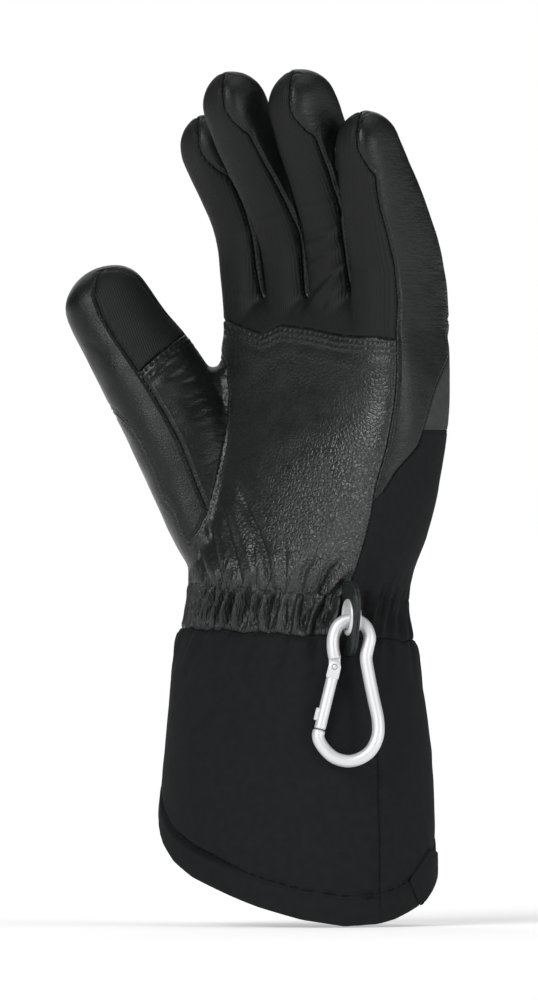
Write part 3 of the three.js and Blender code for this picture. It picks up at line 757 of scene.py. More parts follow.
# Folds in the photo's plane: panels, depth (raised if negative), half width, points
FOLDS = [
    (PALM, 2.17, 1.5, [(-23.6, 46), (-20.4, 36), (-16.4, 28), (-13.2, 19), (-11.6, 10), (-11.2, 5)]),
    (PALM, -1.3, 2.6, [(-27.6, 42), (-24.4, 32), (-20.4, 21), (-17.2, 10)]),
    (PALM, 1.3, 1.1, [(-30, 36), (-27.2, 26), (-24.4, 16), (-22.4, 5)]),
    (PALM, -0.87, 2.0, [(-31.6, 30), (-29.2, 20), (-26.8, 9)]),
    (PALM, 1.45, 1.2, [(-35.6, 31), (-33.6, 20), (-30, 6)]),
    ((PALM, BACK), 1.3, 1.1, [(-40.4, 24), (-38.4, 15), (-35.2, 4)]),
    (PALM, 0.87, 0.9, [(-18, 22), (-16.8, 12), (-16.4, 4)]),
    (PALM, 0.87, 1.0, [(-5.2, 22), (-4.8, 12), (-5.2, 3)]),
    (PALM, -0.87, 2.2, [(-9.2, 20), (-8.4, 8)]),
    (PALM, 1.59, 1.3, [(6.5, 19), (2.4, 11), (0.8, 1)]),
    (PALM, -1.45, 2.0, [(12, 18), (7.6, 10), (5, 2)]),
    (PALM, 1.89, 1.1, [(17.5, 16), (12.4, 9), (8, 0)]),
    (PALM, -1.45, 1.0, [(20.6, 13.5), (16, 8), (12.4, 3)]),
    (PALM, 1.3, 0.8, [(21.5, 10.5), (18, 6.5), (14.5, 1)]),
    (CLOTH, 0.8, 1.3, [(19.6, 135.2), (13.2, 130), (6, 123.2), (1.2, 115.2)]),
    (CLOTH, -0.7, 1.8, [(17.6, 131.5), (11, 126), (6, 119)]),
    (CLOTH, 0.5, 1.0, [(17, 126), (12, 121), (9.6, 116)]),
    (CLOTH, 0.6, 1.3, [(1.2, 144), (9.2, 145.6), (16.4, 148.8)]),
    (CLOTH, -0.5, 1.8, [(2, 140.5), (10, 142), (17.2, 145)]),
    (CLOTH, 0.5, 1.2, [(3, 135.2), (8.4, 137.6), (17.2, 140)]),
    (CLOTH, 0.35, 1.2, [(1.2, 156.4), (9.2, 157.6), (16, 159.2)]),
    (CLOTH, 0.35, 1.4, [(-22, 151.2), (-14, 151.6), (-5.2, 153.2)]),
    (CLOTH, 0.35, 1.4, [(-37.6, 143), (-30, 145), (-19, 148)]),
    (CLOTH, 0.3, 1.6, [(17.6, 153), (26, 152), (35, 150)]),
    (CLOTH, 0.3, 1.5, [(20, 133), (28, 131.5), (38, 130)]),
    (CLOTH, 0.35, 1.5, [(-28, 124), (-20, 121), (-14, 118)]),
    ((BASE, PALM), 0.2, 0.7, [(-58.8, 86), (-48.8, 83.2), (-38.8, 86.4), (-30, 91.2)]),
    (BASE, 0.2, 0.6, [(-56, 82), (-44, 80.5), (-30, 87)]),
    (BASE, 0.2, 0.6, [(-53.6, 78), (-42.8, 77), (-30, 82)]),
    (BASE, 0.18, 0.6, [(-51, 73), (-40, 73), (-29, 77.5)]),
    (BASE, 0.18, 0.6, [(-49, 68.8), (-38.8, 69), (-28.4, 73)]),
    (BASE, 0.16, 0.6, [(-46, 62), (-36.8, 63.5), (-29.2, 67.6)]),
    (BASE, 0.14, 0.6, [(-42.8, 52.4), (-36, 54), (-31.2, 57.2)]),
    (BASE, -0.5, 1.8, [(-58, 92), (-54, 95.5), (-51, 97)]),
    (BASE, 0.7, 1.2, [(-52, 88), (-46, 90.5), (-42, 95), (-40.5, 100)]),
    (BASE, 0.5, 1.0, [(-47, 86), (-40, 88), (-36.5, 93)]),
    (TWRAP, 0.3, 1.6, [(-84, 104), (-79, 100), (-76, 98)]),
    (CUFF_F, 0.5, 3.0, [(-8.8, -15), (-10.4, -36), (-15, -58)]),
    (CUFF_F, 0.4, 3.0, [(-30, -15), (-32, -30), (-38, -48)]),
    (CUFF_F, 0.35, 4.0, [(6, -90), (-10, -98), (-30, -100)]),
    ((CUFF_F, CUFF_B), 0.4, 2.6, [(38, -16), (40, -32), (46, -48)]),
    ((CUFF_B, HEM), 0.6, 2.0, [(41, -106), (45, -114), (48, -121)]),
]
move = np.zeros(len(V))
for panels, depth, width, line in FOLDS:
    box = np.asarray(line)
    reach = width * 3.2
    sel = np.flatnonzero(
        np.isin(vertex_label, panels) & (facing > 0.05)
        & (S > box[:, 0].min() - reach) & (S < box[:, 0].max() + reach)
        & (Z > box[:, 1].min() - reach) & (Z < box[:, 1].max() + reach)
    )
    d, at = to_line(S[sel], Z[sel], line)
    ends = np.clip(np.minimum(at * 6, (1 - at) * 8 + (0.4 if line[-1][1] < 12 else 0)), 0, 1)
    move[sel] -= depth * np.exp(-((d / width) ** 2)) * (0.25 + 0.75 * ends)

# Gathered wrist: puffed leather between two stitched lines, folds that fade out above and below
angle = np.arctan2(V[:, 1], V[:, 0] - 1.0)
ring = np.stack([np.cos(angle), np.sin(angle), np.zeros(len(V))], 1)
front_share = np.clip(0.3 + 1.2 * np.abs(facing), 0, 1) * (0.8 + 0.2 * np.tanh(4 * facing))
drift = flat_noise(angle * 3.2, level * 0.05, 5)
turn = 37 * angle - 0.19 * level + 1.3 * drift + 0.5 * value_noise(ring * 12, 44)
spindle = (0.5 + 0.5 * np.cos(turn)) ** 1.8
height = 0.9 + 0.45 * value_noise(ring * 9, 9)
line_wave = 1.9 * value_noise(ring * 11, 33)
share = np.clip((level + 0.2) / (17.2 + line_wave), 0, 1)
ruffle = np.sin(np.pi * share) ** 0.6
slant = angle * 44 - 0.22 * level
crease = flat_noise(slant / 1.5, level * 0.16, 21)
fine = flat_noise(slant / 0.85, level * 0.4, 25, 3)
leather_here = np.where(np.isin(vertex_label, (PALM, TWRAP)), 1.0, 0.7)
move += ruffle * leather_here * front_share * (
    4.3 * spindle * height - 1.7 + (1.35 - 0.9 * spindle) * crease + 0.5 * (1 - spindle) * fine
)
above = np.clip((level - 13) / 4, 0, 1) * np.clip(1 - (level - 17) / 30, 0, 1) ** 1.7
slow = 18.5 * angle + 1.5 * flat_noise(angle * 2.6, level * 0.04, 15)
weak = np.where(facing > 0.2, 0.3, 0.8)
move += above * front_share * (0.9 * weak * (np.abs(np.cos(slow)) ** 0.7 - 0.6) + 0.4 * crease)
close = np.clip((level - 12) / 3, 0, 1) * np.clip(1 - (level - 15.5) / 12, 0, 1) ** 1.5
move += close * front_share * (1.5 * spindle * height - 0.7 + 0.4 * crease)
below = bump(level, -22, -0.8, 0.8) * np.clip(1 + level / 22, 0, 1)
broad = np.abs(np.cos(turn / 4 + 0.6)) ** 0.8 - 0.6
move += below * (1.4 * broad + 0.8 * spindle - 0.3 + 0.35 * crease)
for row, depth in ((LOW_ROW, 0.5), (HIGH_ROW, 0.15)):
    reach = (level - row - line_wave * (row > 5)) / 0.9
    move -= depth * front_share * np.exp(-(reach**2))

# Seams: a narrow groove, the leather turned over it a little proud
GROOVE = {
    (PALM, CLOTH): 0.5, (BACK, INSERT): 0.35, (CUFF_F, CUFF_B): 0.85, (PALM, TWRAP): 0.4,
    (PALM, BASE): 0.35, (BACK, TWRAP): 0.7,
}
groove = np.full(len(seam_pairs), 0.7)
for pair, depth in GROOVE.items():
    groove[(seam_pairs == sorted(pair)).all(1)] = depth
groove[(seam_pairs == CLOTH).any(1) & ~(seam_pairs == PALM).any(1)] = 0.95
cuff_seam = (seam_pairs.min(1) < CUFF_F) & (seam_pairs.max(1) >= CUFF_F)
groove[cuff_seam] = 0.8
to_band = (seam_pairs.max(1) == HEM)
groove[to_band] = 0.7
depth_at = groove[which_seam]
left = np.clip((-S[seam_ids] - 20) / 15, 0, 1) * to_band
depth_at = depth_at + 1.9 * left[which_seam]
soft = 0.5 + 0.5 * left[which_seam]
move -= depth_at * np.exp(-((to_seam / soft) ** 2))
leather_side = np.isin(vertex_label, LEATHER)
lip = np.where(leather_side, 0.08, 0.04) * (level > 0)
move += lip * np.exp(-(((to_seam - 1.5) / 0.8) ** 2))
move += np.where(vertex_label == HEM, 0.4, 0.0)

# Top-stitched leather edges: a flat raised band with two sunk rows
edge_value = {PALM: -f_cloth(V), BASE: -f_thumb_tip(V)}
for lab, value in edge_value.items():
    on = vertex_label == lab
    x = value[on]
    seen = np.clip(facing[on] * 3, 0, 1)
    move[on] += seen * (0.6 * bump(x, 0.2, 5.8, 0.2) + 0.4 * bump(x, 7.5, 12, 1.2))
    dashes = 0.6 + 0.4 * np.cos(2 * np.pi * S[on] / 2.0)
    for row in BAND_ROWS:
        move[on] -= 0.6 * seen * dashes * np.exp(-(((x - row) / 0.55) ** 2))

FRONT, SIDE_V, THUMB_V = f_front(V0), f_side(V0), f_thumb(V0)
THUMB_F, TIP_V, CLOTH_V = f_thumb_front(V0), f_thumb_tip(V0), f_cloth(V0)
INSERT_V, KNUCKLE_V, BAND_V, CUFF_SIDE_V = f_insert(V0), f_knuckle(V0), f_band(V0), f_cuff_side(V0)
tri_z = V0[T][:, :, 2].mean(1)
tri_knuckle = KNUCKLE_V[T].mean(1)
tri_front = D[T].mean(1) > -14
# Stitched rows: panel, value that is zero on the row, where
ROWS = [
    *[(PALM, CLOTH_V + row, None) for row in BAND_ROWS],
    *[(BASE, TIP_V + row, None) for row in BAND_ROWS],
    (CLOTH, FRONT - 0.9, tri_knuckle > 2), (WRAP0, FRONT + 0.9, None),
    (WRAP1, FRONT + 0.9, None), (WRAP2, FRONT + 0.9, None),
    (SIDE, FRONT + 1.0, None), (PALM, FRONT - 1.1, tri_z > 4),
    (PAD, THUMB_F - 0.9, tri_front), (BASE, THUMB_F - 0.9, tri_front),
    (TWRAP, THUMB_F + 0.9, tri_front), (PALM, THUMB_V + 1.0, tri_front),
    (TWRAP, THUMB_V - 1.0, None),
    (SIDE, SIDE_V - 1.1, None), (BACK, INSERT_V + 1.2, None), (INSERT, INSERT_V - 1.2, None),
    (INSERT, KNUCKLE_V + 1.2, None), (HEM, BAND_V + 1.3, None),
    (CUFF_F, BAND_V - 1.2, None), (CUFF_B, BAND_V - 1.2, None),
    (CUFF_F, CUFF_SIDE_V - 0.9, None), (CUFF_B, CUFF_SIDE_V + 0.9, None),
    (CUFF_F, level + 1.5, None), (CUFF_B, level + 1.5, None),
    (PALM, level - 0.9, None), (BACK, level - 0.9, None),
    (PALM, level - HIGH_ROW - line_wave, None), (BACK, level - HIGH_ROW - line_wave, None),
]
for lab, value, _ in ROWS[2 * len(BAND_ROWS):]:
    on = vertex_label == lab
    move[on] -= 0.32 * np.exp(-((value[on] / 0.45) ** 2))
# The cuff seam runs on through the hem band
on = (vertex_label == HEM) & (facing > 0)
move[on] -= 0.7 * np.exp(-((CUFF_SIDE_V[on] / 0.5) ** 2))

# Rounded hem edge, and a soft unevenness all over
hem_value = f_hem(V)
move -= 0.7 * np.exp(-((hem_value / 0.7) ** 2))
uneven = np.where(leather_side, 0.3, 0.22)
move += uneven * value_noise(V / 16, 2) + 0.12 * value_noise(V / 6, 4)
cuff_part = bump(level, -200, -16, 3.0)
move += cuff_part * 0.7 * value_noise(V / 38, 7)
V = V0 + N0 * move[:, None]
N = vertex_normals(V, T)

# Wall of each panel: outside from the fine mesh, inside from the plain one
THICK = 1.6
WRIST_THICK = 3.2
thick = THICK + (WRIST_THICK - THICK) * bump(level[:base_count], -3, 24, 1.5)
inner_v = V0[:base_count] - N0[:base_count] * thick[:, None]
inner_v -= N0[:base_count] * np.maximum(-move[:base_count], 0)[:, None] * 0.4


def panel(lab):
    outer = T[LAB == lab]
    coarse = base_T[base_LAB == lab]
    ids_o, ids_i = np.unique(outer), np.unique(coarse)
    to_o = {g: k for k, g in enumerate(ids_o.tolist())}
    to_i = {g: k + len(ids_o) for k, g in enumerate(ids_i.tolist())}
    near_o = np.searchsorted(ids_o, outer)
    near_i = np.searchsorted(ids_i, coarse) + len(ids_o)
    faces = near_o.tolist() + near_i[:, ::-1].tolist()
    for a, b in open_edges(coarse, base_count).tolist():
        row = [to_o[g] for g in chain(a, b) + [b]]
        faces.append(row[::-1] + [to_i[a], to_i[b]])
    return np.vstack([V[ids_o], inner_v[ids_i]]), faces, len(outer), len(coarse)


class Sewing:
    """Thread of one panel: short rounded stitches laid along lines on its surface."""

    sides = 5
    rings = ((0.0, 0.35), (0.14, 0.85), (0.5, 1.0), (0.86, 0.85), (1.0, 0.35))

    def __init__(self):
        self.verts, self.faces = [], []

    def stitch(self, a, b, up, radius, sag=0.1):
        along = b - a
        length = np.linalg.norm(along)
        if length < 0.2:
            return
        along = along / length
        side = np.cross(along, up)
        side /= max(np.linalg.norm(side), 1e-6)
        up = np.cross(side, along)
        start = len(self.verts)
        n = self.sides
        for share, fat in self.rings:
            rise = sag * 4 * share * (1 - share) - sag
            c = a + along * length * share + up * rise
            for k in range(n):
                w = 2 * math.pi * k / n
                self.verts.append(c + (side * math.cos(w) + up * math.sin(w)) * radius * fat)
        for r in range(len(self.rings) - 1):
            for k in range(n):
                m = (k + 1) % n
                p = start + r * n
                self.faces.append((p + k, p + m, p + n + m, p + n + k))
        self.faces.append(tuple(start + k for k in reversed(range(n))))
        last = start + (len(self.rings) - 1) * n
        self.faces.append(tuple(last + k for k in range(n)))

    def row(self, points, normals, pitch=2.0, fill=0.66, radius=0.22, rise=0.0):
        run = lengths(points)
        if run[-1] < pitch * 1.5:
            return
        count = int(run[-1] / pitch)
        step = run[-1] / count
        starts = (np.arange(count) + (1 - fill) / 2) * step
        for a in starts:
            at = [a, a + step * fill]
            p = np.stack([np.interp(at, run, points[:, c]) for c in range(3)], 1)
            n = np.array([np.interp(a + step * fill / 2, run, normals[:, c]) for c in range(3)])
            n /= max(np.linalg.norm(n), 1e-6)
            self.stitch(p[0] + n * rise, p[1] + n * rise, n, radius)


def contour(value, keep):
    """Lines on the surface where the value is zero, on the kept triangles."""
    t = T[keep]
    f = value[t]
    f = np.where(f == 0, 1e-6, f)
    sel = (f.max(1) > 0) & (f.min(1) < 0)
    t, f = t[sel], f[sel]
    if not len(t):
        return []
    links, place = {}, {}
    for tri, val in zip(t.tolist(), f.tolist()):
        ends = []
        for i, j in ((0, 1), (1, 2), (2, 0)):
            if val[i] * val[j] < 0:
                key = (tri[i], tri[j]) if tri[i] < tri[j] else (tri[j], tri[i])
                w = val[i] / (val[i] - val[j])
                if key not in place:
                    place[key] = (tri[i], tri[j], w)
                ends.append(key)
        if len(ends) == 2:
            links.setdefault(ends[0], []).append(ends[1])
            links.setdefault(ends[1], []).append(ends[0])
    lines, seen = [], set()
    order = sorted(links, key=lambda k: (len(links[k]), k))
    for start in order:
        if start in seen:
            continue
        line, here = [start], start
        seen.add(start)
        while True:
            nxt = [k for k in links[here] if k not in seen]
            if not nxt:
                break
            here = nxt[0]
            seen.add(here)
            line.append(here)
        if len(line) < 4:
            continue
        i, j, w = (np.array(c) for c in zip(*(place[k] for k in line)))
        w = w[:, None]
        pts, nrm = V[i] * (1 - w) + V[j] * w, N[i] * (1 - w) + N[j] * w
        for _ in range(2):
            pts[1:-1] = (pts[:-2] + 2 * pts[1:-1] + pts[2:]) / 4
        lines.append((pts, nrm))
    return lines


sewing = {lab: Sewing() for lab in range(len(PANELS))}
for lab, value, where in ROWS:
    keep = LAB == lab
    if where is not None:
        keep &= where
    for points, normals in contour(value, keep):
        sewing[lab].row(points, normals)

# Bar tack beside the cuff seam
tack = np.flatnonzero((vertex_label == HEM) & (facing > 0.3))
for k in range(8):
    q = np.array([26.4 + 0.55 * k, -118.6 + 0.12 * k])
    i = tack[np.argmin((S[tack] - q[0]) ** 2 + (Z[tack] - q[1]) ** 2)]
    up_way = np.array([0.15, -0.15, 1.0])
    sewing[HEM].stitch(V[i] - up_way * 1.1 + N[i] * 0.3, V[i] + up_way * 1.1 + N[i] * 0.3, N[i], 0.3)

# Material index of the faces
OUTSIDE, INSIDE, THREAD = range(3)
pieces = {}


def dress(ob, node, body, corner):
    """Looks of a CAD node: smooth up to a corner in degrees, riding the node's body."""
    ob.data.shade_smooth()
    ob.data.set_sharp_from_angle(angle=math.radians(corner))
    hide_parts(node)
    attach(ob, body)
    pieces[node] = ob


def sewn(node, verts, faces, kinds, thread, corner):
    """Piece of cloth or leather, from a mesh in mm and its thread."""
    if thread.verts:
        verts, faces = joined([(verts, faces), (thread.verts, thread.faces)])
        kinds = kinds + [THREAD] * len(thread.faces)
    ob = new_object("look_" + node, new_mesh("look_" + node, verts * MM, faces))
    ob.data.polygons.foreach_set("material_index", kinds)
    dress(ob, node, "glove", corner)


for lab, (name, slot) in enumerate(PANELS.items()):
    verts, faces, n_out, n_in = panel(lab)
    kinds = [OUTSIDE] * n_out + [INSIDE] * n_in + [OUTSIDE] * (len(faces) - n_out - n_in)
    sewn(name, verts, faces, kinds, sewing[lab], 70)

# Pull tab: a folded strip sewn over the hem band
PULL = [(44.5, -111.5), (52.6, -99.2), (60, -103), (60, -116), (50.4, -124.5), (47.2, -118.5)]
pv, pt = split(V0, T[(D[T].mean(1) > -6) & (S[T].max(1) > 42) & (tri_z < -95)],
               lambda v: in_photo(v, PULL))
pt = pt[in_photo(pv[pt].mean(1), PULL) > 0]
ids = np.unique(pt)
pv, pt = pv[ids], np.searchsorted(ids, pt)
pn = vertex_normals(pv, pt)
from_edge = in_photo(pv, PULL)
rise = 0.6 + 0.6 * np.sqrt(np.clip(from_edge / 0.8, 0, 1))
rise -= 0.25 * np.exp(-(((from_edge - 1.5) / 0.35) ** 2))
top, under = pv + pn * rise[:, None], pv + pn * 0.3
faces = pt.tolist() + (pt[:, ::-1] + len(pv)).tolist()
faces += [(b, a, a + len(pv), b + len(pv)) for a, b in open_edges(pt, len(pv)).tolist()]
sewn("pull_tab", np.vstack([top, under]), faces, [OUTSIDE] * len(faces), Sewing(), 60)

# Hanging tab: two layers of leather with rounded edges round the eyelet
TAB_TURN = math.radians(16)
TAB_CENTRE = turned(21.6, 53.5, -6.6)
TAB_OUT = turned(math.sin(TAB_TURN), math.cos(TAB_TURN), 0)
TAB_FACE = np.cross(TAB_OUT, (0, 0, 1.0))
TAB_OUTLINE = [
    (-12.6, 14.4), (-4, 14.4), (3.5, 14.4), (8, 11.8), (10.4, 7.4), (9.6, 0), (7, -8), (4.4, -13),
    (0.5, -15.6), (-5, -15.6), (-9.6, -15.6), (-11.4, 0),
]
TAB_HALF = 1.25
TAB_HOLE = 5.5


def rounded(outline, rounds):
    p = np.asarray(outline, float)
    for _ in range(rounds):
        q = np.roll(p, -1, axis=0)
        p = np.stack([p * 0.78 + q * 0.22, p * 0.22 + q * 0.78], 1).reshape(-1, 2)
    return p


def reach_of(outline, angles):
    """Distance from the origin to the outline along each direction."""
    out = np.zeros(len(angles))
    for k, w in enumerate(angles):
        d = np.array([math.cos(w), math.sin(w)])
        for a, b in zip(outline, np.roll(outline, -1, axis=0)):
            e = b - a
            den = d[0] * e[1] - d[1] * e[0]
            if abs(den) < 1e-9:
                continue
            r = (a[0] * e[1] - a[1] * e[0]) / den
            s = (a[0] * d[1] - a[1] * d[0]) / den
            if r > 0 and -1e-9 <= s <= 1 + 1e-9:
                out[k] = max(out[k], r)
    return out


tab_line = rounded(TAB_OUTLINE, 3)
tab_angles = np.linspace(0, 2 * math.pi, 180, endpoint=False)
tab_reach = reach_of(tab_line, tab_angles)
# Edge profile of the two layers: inwards from the outline, height over the middle plane
TAB_PROFILE = [
    (0.42, 0.0), (0.12, 0.12), (0.0, 0.4), (0.05, 0.8), (0.3, 1.1), (0.8, 1.25), (1.3, 1.2),
    (1.6, 1.08), (1.9, 1.2), (2.6, 1.25),
]
loop = [(i, h) for i, h in reversed(TAB_PROFILE)] + [(i, -h) for i, h in TAB_PROFILE[1:]]


def on_tab(across, up, off):
    return TAB_CENTRE + TAB_OUT * across + np.array([0, 0, 1.0]) * up + TAB_FACE * off


def closed_grid(count, n):
    """Faces round a closed row of rings with n points each."""
    faces = []
    for i in range(count):
        j = (i + 1) % count
        for k in range(n):
            m = (k + 1) % n
            faces.append((i * n + k, i * n + m, j * n + m, j * n + k))
    return faces


rings = []
for w, reach in zip(tab_angles, tab_reach):
    c, s = math.cos(w), math.sin(w)
    ring_pts = [on_tab(TAB_HOLE * c, TAB_HOLE * s, TAB_HALF)]
    ring_pts += [on_tab((reach - i) * c, (reach - i) * s, h) for i, h in loop]
    ring_pts.append(on_tab(TAB_HOLE * c, TAB_HOLE * s, -TAB_HALF))
    rings.append(ring_pts)
verts = np.array(rings).reshape(-1, 3)
faces = closed_grid(len(rings), len(rings[0]))
thread = Sewing()
for sign in (1, -1):
    pts = np.array([
        on_tab((r - 1.6) * math.cos(w), (r - 1.6) * math.sin(w), sign * 1.05)
        for w, r in zip(tab_angles, tab_reach)
        if (r - 1.6) * math.cos(w) > -9
    ])
    split_at = int(np.argmax(np.linalg.norm(np.diff(pts, axis=0), axis=1)))
    pts = np.roll(pts, -(split_at + 1), axis=0)
    thread.row(pts, np.repeat([TAB_FACE * sign], len(pts), 0), 2.2, 0.72, 0.22, 0.08)
sewn("hang_tab", verts, faces, [OUTSIDE] * len(faces), thread, 60)


def lathe(profile, centre, axis, side, count):
    """Closed ring: profile of radius and height round an axis."""
    other = np.cross(axis, side)
    verts = []
    for i in range(count):
        w = 2 * math.pi * i / count
        d = side * math.cos(w) + other * math.sin(w)
        verts += [centre + d * r + axis * h for r, h in profile]
    return np.array(verts), [f[::-1] for f in closed_grid(count, len(profile))]


# Half of the eyelet's section, from the bore round the rim to the barrel: radius, height
EYELET_HALF = [
    (5.0, 1.4), (5.1, 1.75), (5.35, 2.05), (5.8, 2.3), (6.4, 2.3), (6.9, 2.15), (7.3, 1.75),
    (7.35, 1.45), (7.1, 1.3), (5.5, 1.25), (5.35, 1.0),
]
EYELET_PROFILE = [(r, -h) for r, h in EYELET_HALF] + EYELET_HALF[::-1]
ev, ef = lathe(EYELET_PROFILE, TAB_CENTRE, TAB_FACE, TAB_OUT, 72)
ob = new_object("look_eyelet", new_mesh("look_eyelet", ev * MM, ef))
dress(ob, "eyelet", "glove", 60)

# Snap hook: round wire, forked gate on a pin
HOOK_LEAN = math.radians(5)
HOOK_AT = turned(21.6, 53.5, -7.4)
HOOK_SIDE = turned(1, 0, 0)
HOOK_UP = turned(0, -math.sin(HOOK_LEAN), 0) + np.array([0, 0, math.cos(HOOK_LEAN)])
HOOK_FACE = np.cross(HOOK_SIDE, HOOK_UP)
HOOK_LINE = [
    (-6.6, -15.9), (-7.3, -11.8), (-7.1, -6.8), (-5.0, -2.2), (0, 0), (5.0, -2.2), (7.2, -6.8),
    (6.5, -11.2), (5.8, -15.2), (6.8, -22), (8.8, -32), (10.5, -40.4), (10.3, -46.8),
    (7.6, -52.4), (3.2, -55.6), (-1.6, -56.6), (-6.8, -55.2), (-10.7, -51.8), (-12.9, -48.2),
    (-13.25, -46.2), (-12.82, -44.15),
]
HINGE = (-6.7, -19.2)
GATE_END = (-12.62, -43.79)
WIRE = 2.5


def on_hook(p):
    p = np.atleast_2d(p)
    return HOOK_AT + np.outer(p[:, 0], HOOK_SIDE) + np.outer(p[:, 1], HOOK_UP) + np.outer(
        p[:, 2], HOOK_FACE
    )


def between(a, b, start, end, x):
    return a * (end - x) / (end - start) + b * (x - start) / (end - start)


def through(points, steps):
    """Centripetal curve through points."""
    p = np.asarray(points, float)
    p = np.vstack([2 * p[0] - p[1], p, 2 * p[-1] - p[-2]])
    out = []
    for i in range(1, len(p) - 2):
        q = p[i - 1:i + 3]
        k = lengths(q, 0.5)
        for x in np.linspace(k[1], k[2], steps, endpoint=False):
            a = [between(q[j], q[j + 1], k[j], k[j + 1], x) for j in range(3)]
            b = [between(a[j], a[j + 1], k[j], k[j + 2], x) for j in range(2)]
            out.append(between(b[0], b[1], k[1], k[2], x))
    out.append(p[-2])
    return np.array(out)


def tube(line, radii, sides):
    """Round bar along a line in the hook's plane, closed at both ends."""
    line = np.asarray(line, float)
    t = np.gradient(line, axis=0)
    t /= np.linalg.norm(t, axis=1)[:, None]
    n = np.stack([-t[:, 1], t[:, 0]], 1)
    rings = []
    for c, d, r in zip(line, n, radii):
        w = np.arange(sides) / sides * 2 * np.pi
        flat = c + np.outer(np.cos(w) * r, d)
        rings.append(np.column_stack([flat, np.sin(w) * r]))
    v, f = loft(rings)
    return v, [tuple(reversed(g)) for g in f]


def with_ends(line, radius, bevel):
    """Line and radii of a bar whose ends are rounded off."""
    run = lengths(line)
    cuts = bevel * (1 - np.cos(np.linspace(0, math.pi / 2, 5)))
    inner = run[(run > bevel) & (run < run[-1] - bevel)]
    at = np.concatenate([cuts, inner, run[-1] - cuts[::-1]])
    near_end = np.minimum(at, run[-1] - at)
    r = radius - bevel * (1 - np.sqrt(np.clip(1 - (1 - np.clip(near_end / bevel, 0, 1)) ** 2, 0, 1)))
    pts = np.stack([np.interp(at, run, line[:, c]) for c in range(2)], 1)
    return pts, r


def block(x0, x1, y0, y1, z):
    """Box with the corners cut, in plane coordinates."""
    c = 0.35
    ring = [(x0 + c, y0), (x1 - c, y0), (x1, y0 + c), (x1, y1 - c), (x1 - c, y1), (x0 + c, y1),
            (x0, y1 - c), (x0, y0 + c)]
    rings = []
    for h, shrink in ((-z, c), (-z + c, 0), (z - c, 0), (z, c)):
        mid = np.array([(x0 + x1) / 2, (y0 + y1) / 2])
        scale = 1 - shrink / np.array([(x1 - x0) / 2, (y1 - y0) / 2])
        rings.append([np.append(mid + (np.array(p) - mid) * scale, h) for p in ring])
    return loft(rings)


def disc(centre, radius, z, sides=40, edge=0.3):
    """Round pin through the plane, with softened edges."""
    w = np.arange(sides) / sides * 2 * np.pi
    rings = []
    for h, r in ((-z, radius - edge), (-z + edge * 0.3, radius - edge * 0.3), (-z + edge, radius),
                 (z - edge, radius), (z - edge * 0.3, radius - edge * 0.3), (z, radius - edge)):
        rings.append(np.column_stack(
            [centre[0] + np.cos(w) * r, centre[1] + np.sin(w) * r, np.full(sides, h)]
        ))
    return loft(rings)


def solid_of(name, v, f):
    me = new_mesh(name, on_hook(v) * MM, f)
    ob = new_object(name, me)
    bpy.context.view_layer.objects.active = ob
    return ob


def boolean(ob, other, kind):
    mod = ob.modifiers.new("cut", "BOOLEAN")
    mod.operation = kind
    mod.solver = "EXACT"
    mod.object = other
    dep = bpy.context.evaluated_depsgraph_get()
    me = bpy.data.meshes.new_from_object(ob.evaluated_get(dep))
    ob.modifiers.clear()
    ob.data = me
    bpy.data.objects.remove(other)


wire_line, wire_r = with_ends(through(HOOK_LINE, 10), WIRE, 0.7)
hook = solid_of("look_snap_hook", *tube(wire_line, wire_r, 32))
for name, (v, f) in {
    "tongue": block(HINGE[0] - 2.3, HINGE[0] + 2.3, HINGE[1], HINGE[1] + 5.4, 0.9),
    "tongue_end": disc(HINGE, 2.3, 0.9, 40, 0.15),
    "pin": disc(HINGE, 0.9, 2.95, 32, 0.25),
}.items():
    boolean(hook, solid_of(name, v, f), "UNION")

way = np.array(GATE_END) - HINGE
gate_length = np.linalg.norm(way)
way /= gate_length
sideways = np.array([-way[1], way[0]])


def along_gate(v):
    """Turns pieces drawn with the gate along -Y from the hinge into its place."""
    v = np.asarray(v, float)
    flat = np.outer(-v[:, 1], way) + np.outer(v[:, 0], sideways) + HINGE
    return np.column_stack([flat, v[:, 2]])


def placed(pair):
    return along_gate(pair[0]), pair[1]


bar_line = np.array([HINGE + way * d for d in np.linspace(3.6, gate_length, 12)])
bar_pts, bar_r = with_ends(bar_line, 2.3, 0.45)
gate = solid_of("look_snap_gate", *tube(bar_pts, bar_r, 32))
for name, pair in {
    "fork_end": disc(HINGE, 2.5, 2.5, 40, 0.4),
    "fork": placed(block(-2.5, 2.5, -4.6, 0, 2.5)),
    "lug": placed(block(-3.3, 0.1, 5.6 - gate_length - 2.5, 5.6 - gate_length + 2.5, 1.3)),
}.items():
    boolean(gate, solid_of(name, *pair), "UNION")
boolean(gate, solid_of("slot_cut", *placed(block(-9, 9, -3, 6, 1.25))), "DIFFERENCE")
boolean(gate, solid_of("pin_cut", *disc(HINGE, 1.15, 4, 32, 0.05)), "DIFFERENCE")
dress(hook, "snap_hook", "hook", 35)
dress(gate, "snap_gate", "gate", 35)


def material(name, color, rough, metal=0.0):
    m = bpy.data.materials.new(name)
    m.use_nodes = True
    b = m.node_tree.nodes["Principled BSDF"]
    b.inputs["Base Color"].default_value = (*color, 1)
    b.inputs["Roughness"].default_value = rough
    b.inputs["Metallic"].default_value = metal
    return m, m.node_tree, b


def connect(tree, socket, value):
    """Links a socket to an output, or sets it to a constant."""
    if isinstance(value, bpy.types.NodeSocket):
        tree.links.new(value, socket)
    else:
        socket.default_value = value


def node(tree, kind, out, inputs, **settings):
    """One output of a new shader node."""
    n = tree.nodes.new("ShaderNode" + kind)
    for key, value in settings.items():
        setattr(n, key, value)
    for key, value in inputs.items():
        connect(tree, n.inputs[key], value)
    return n.outputs[out]


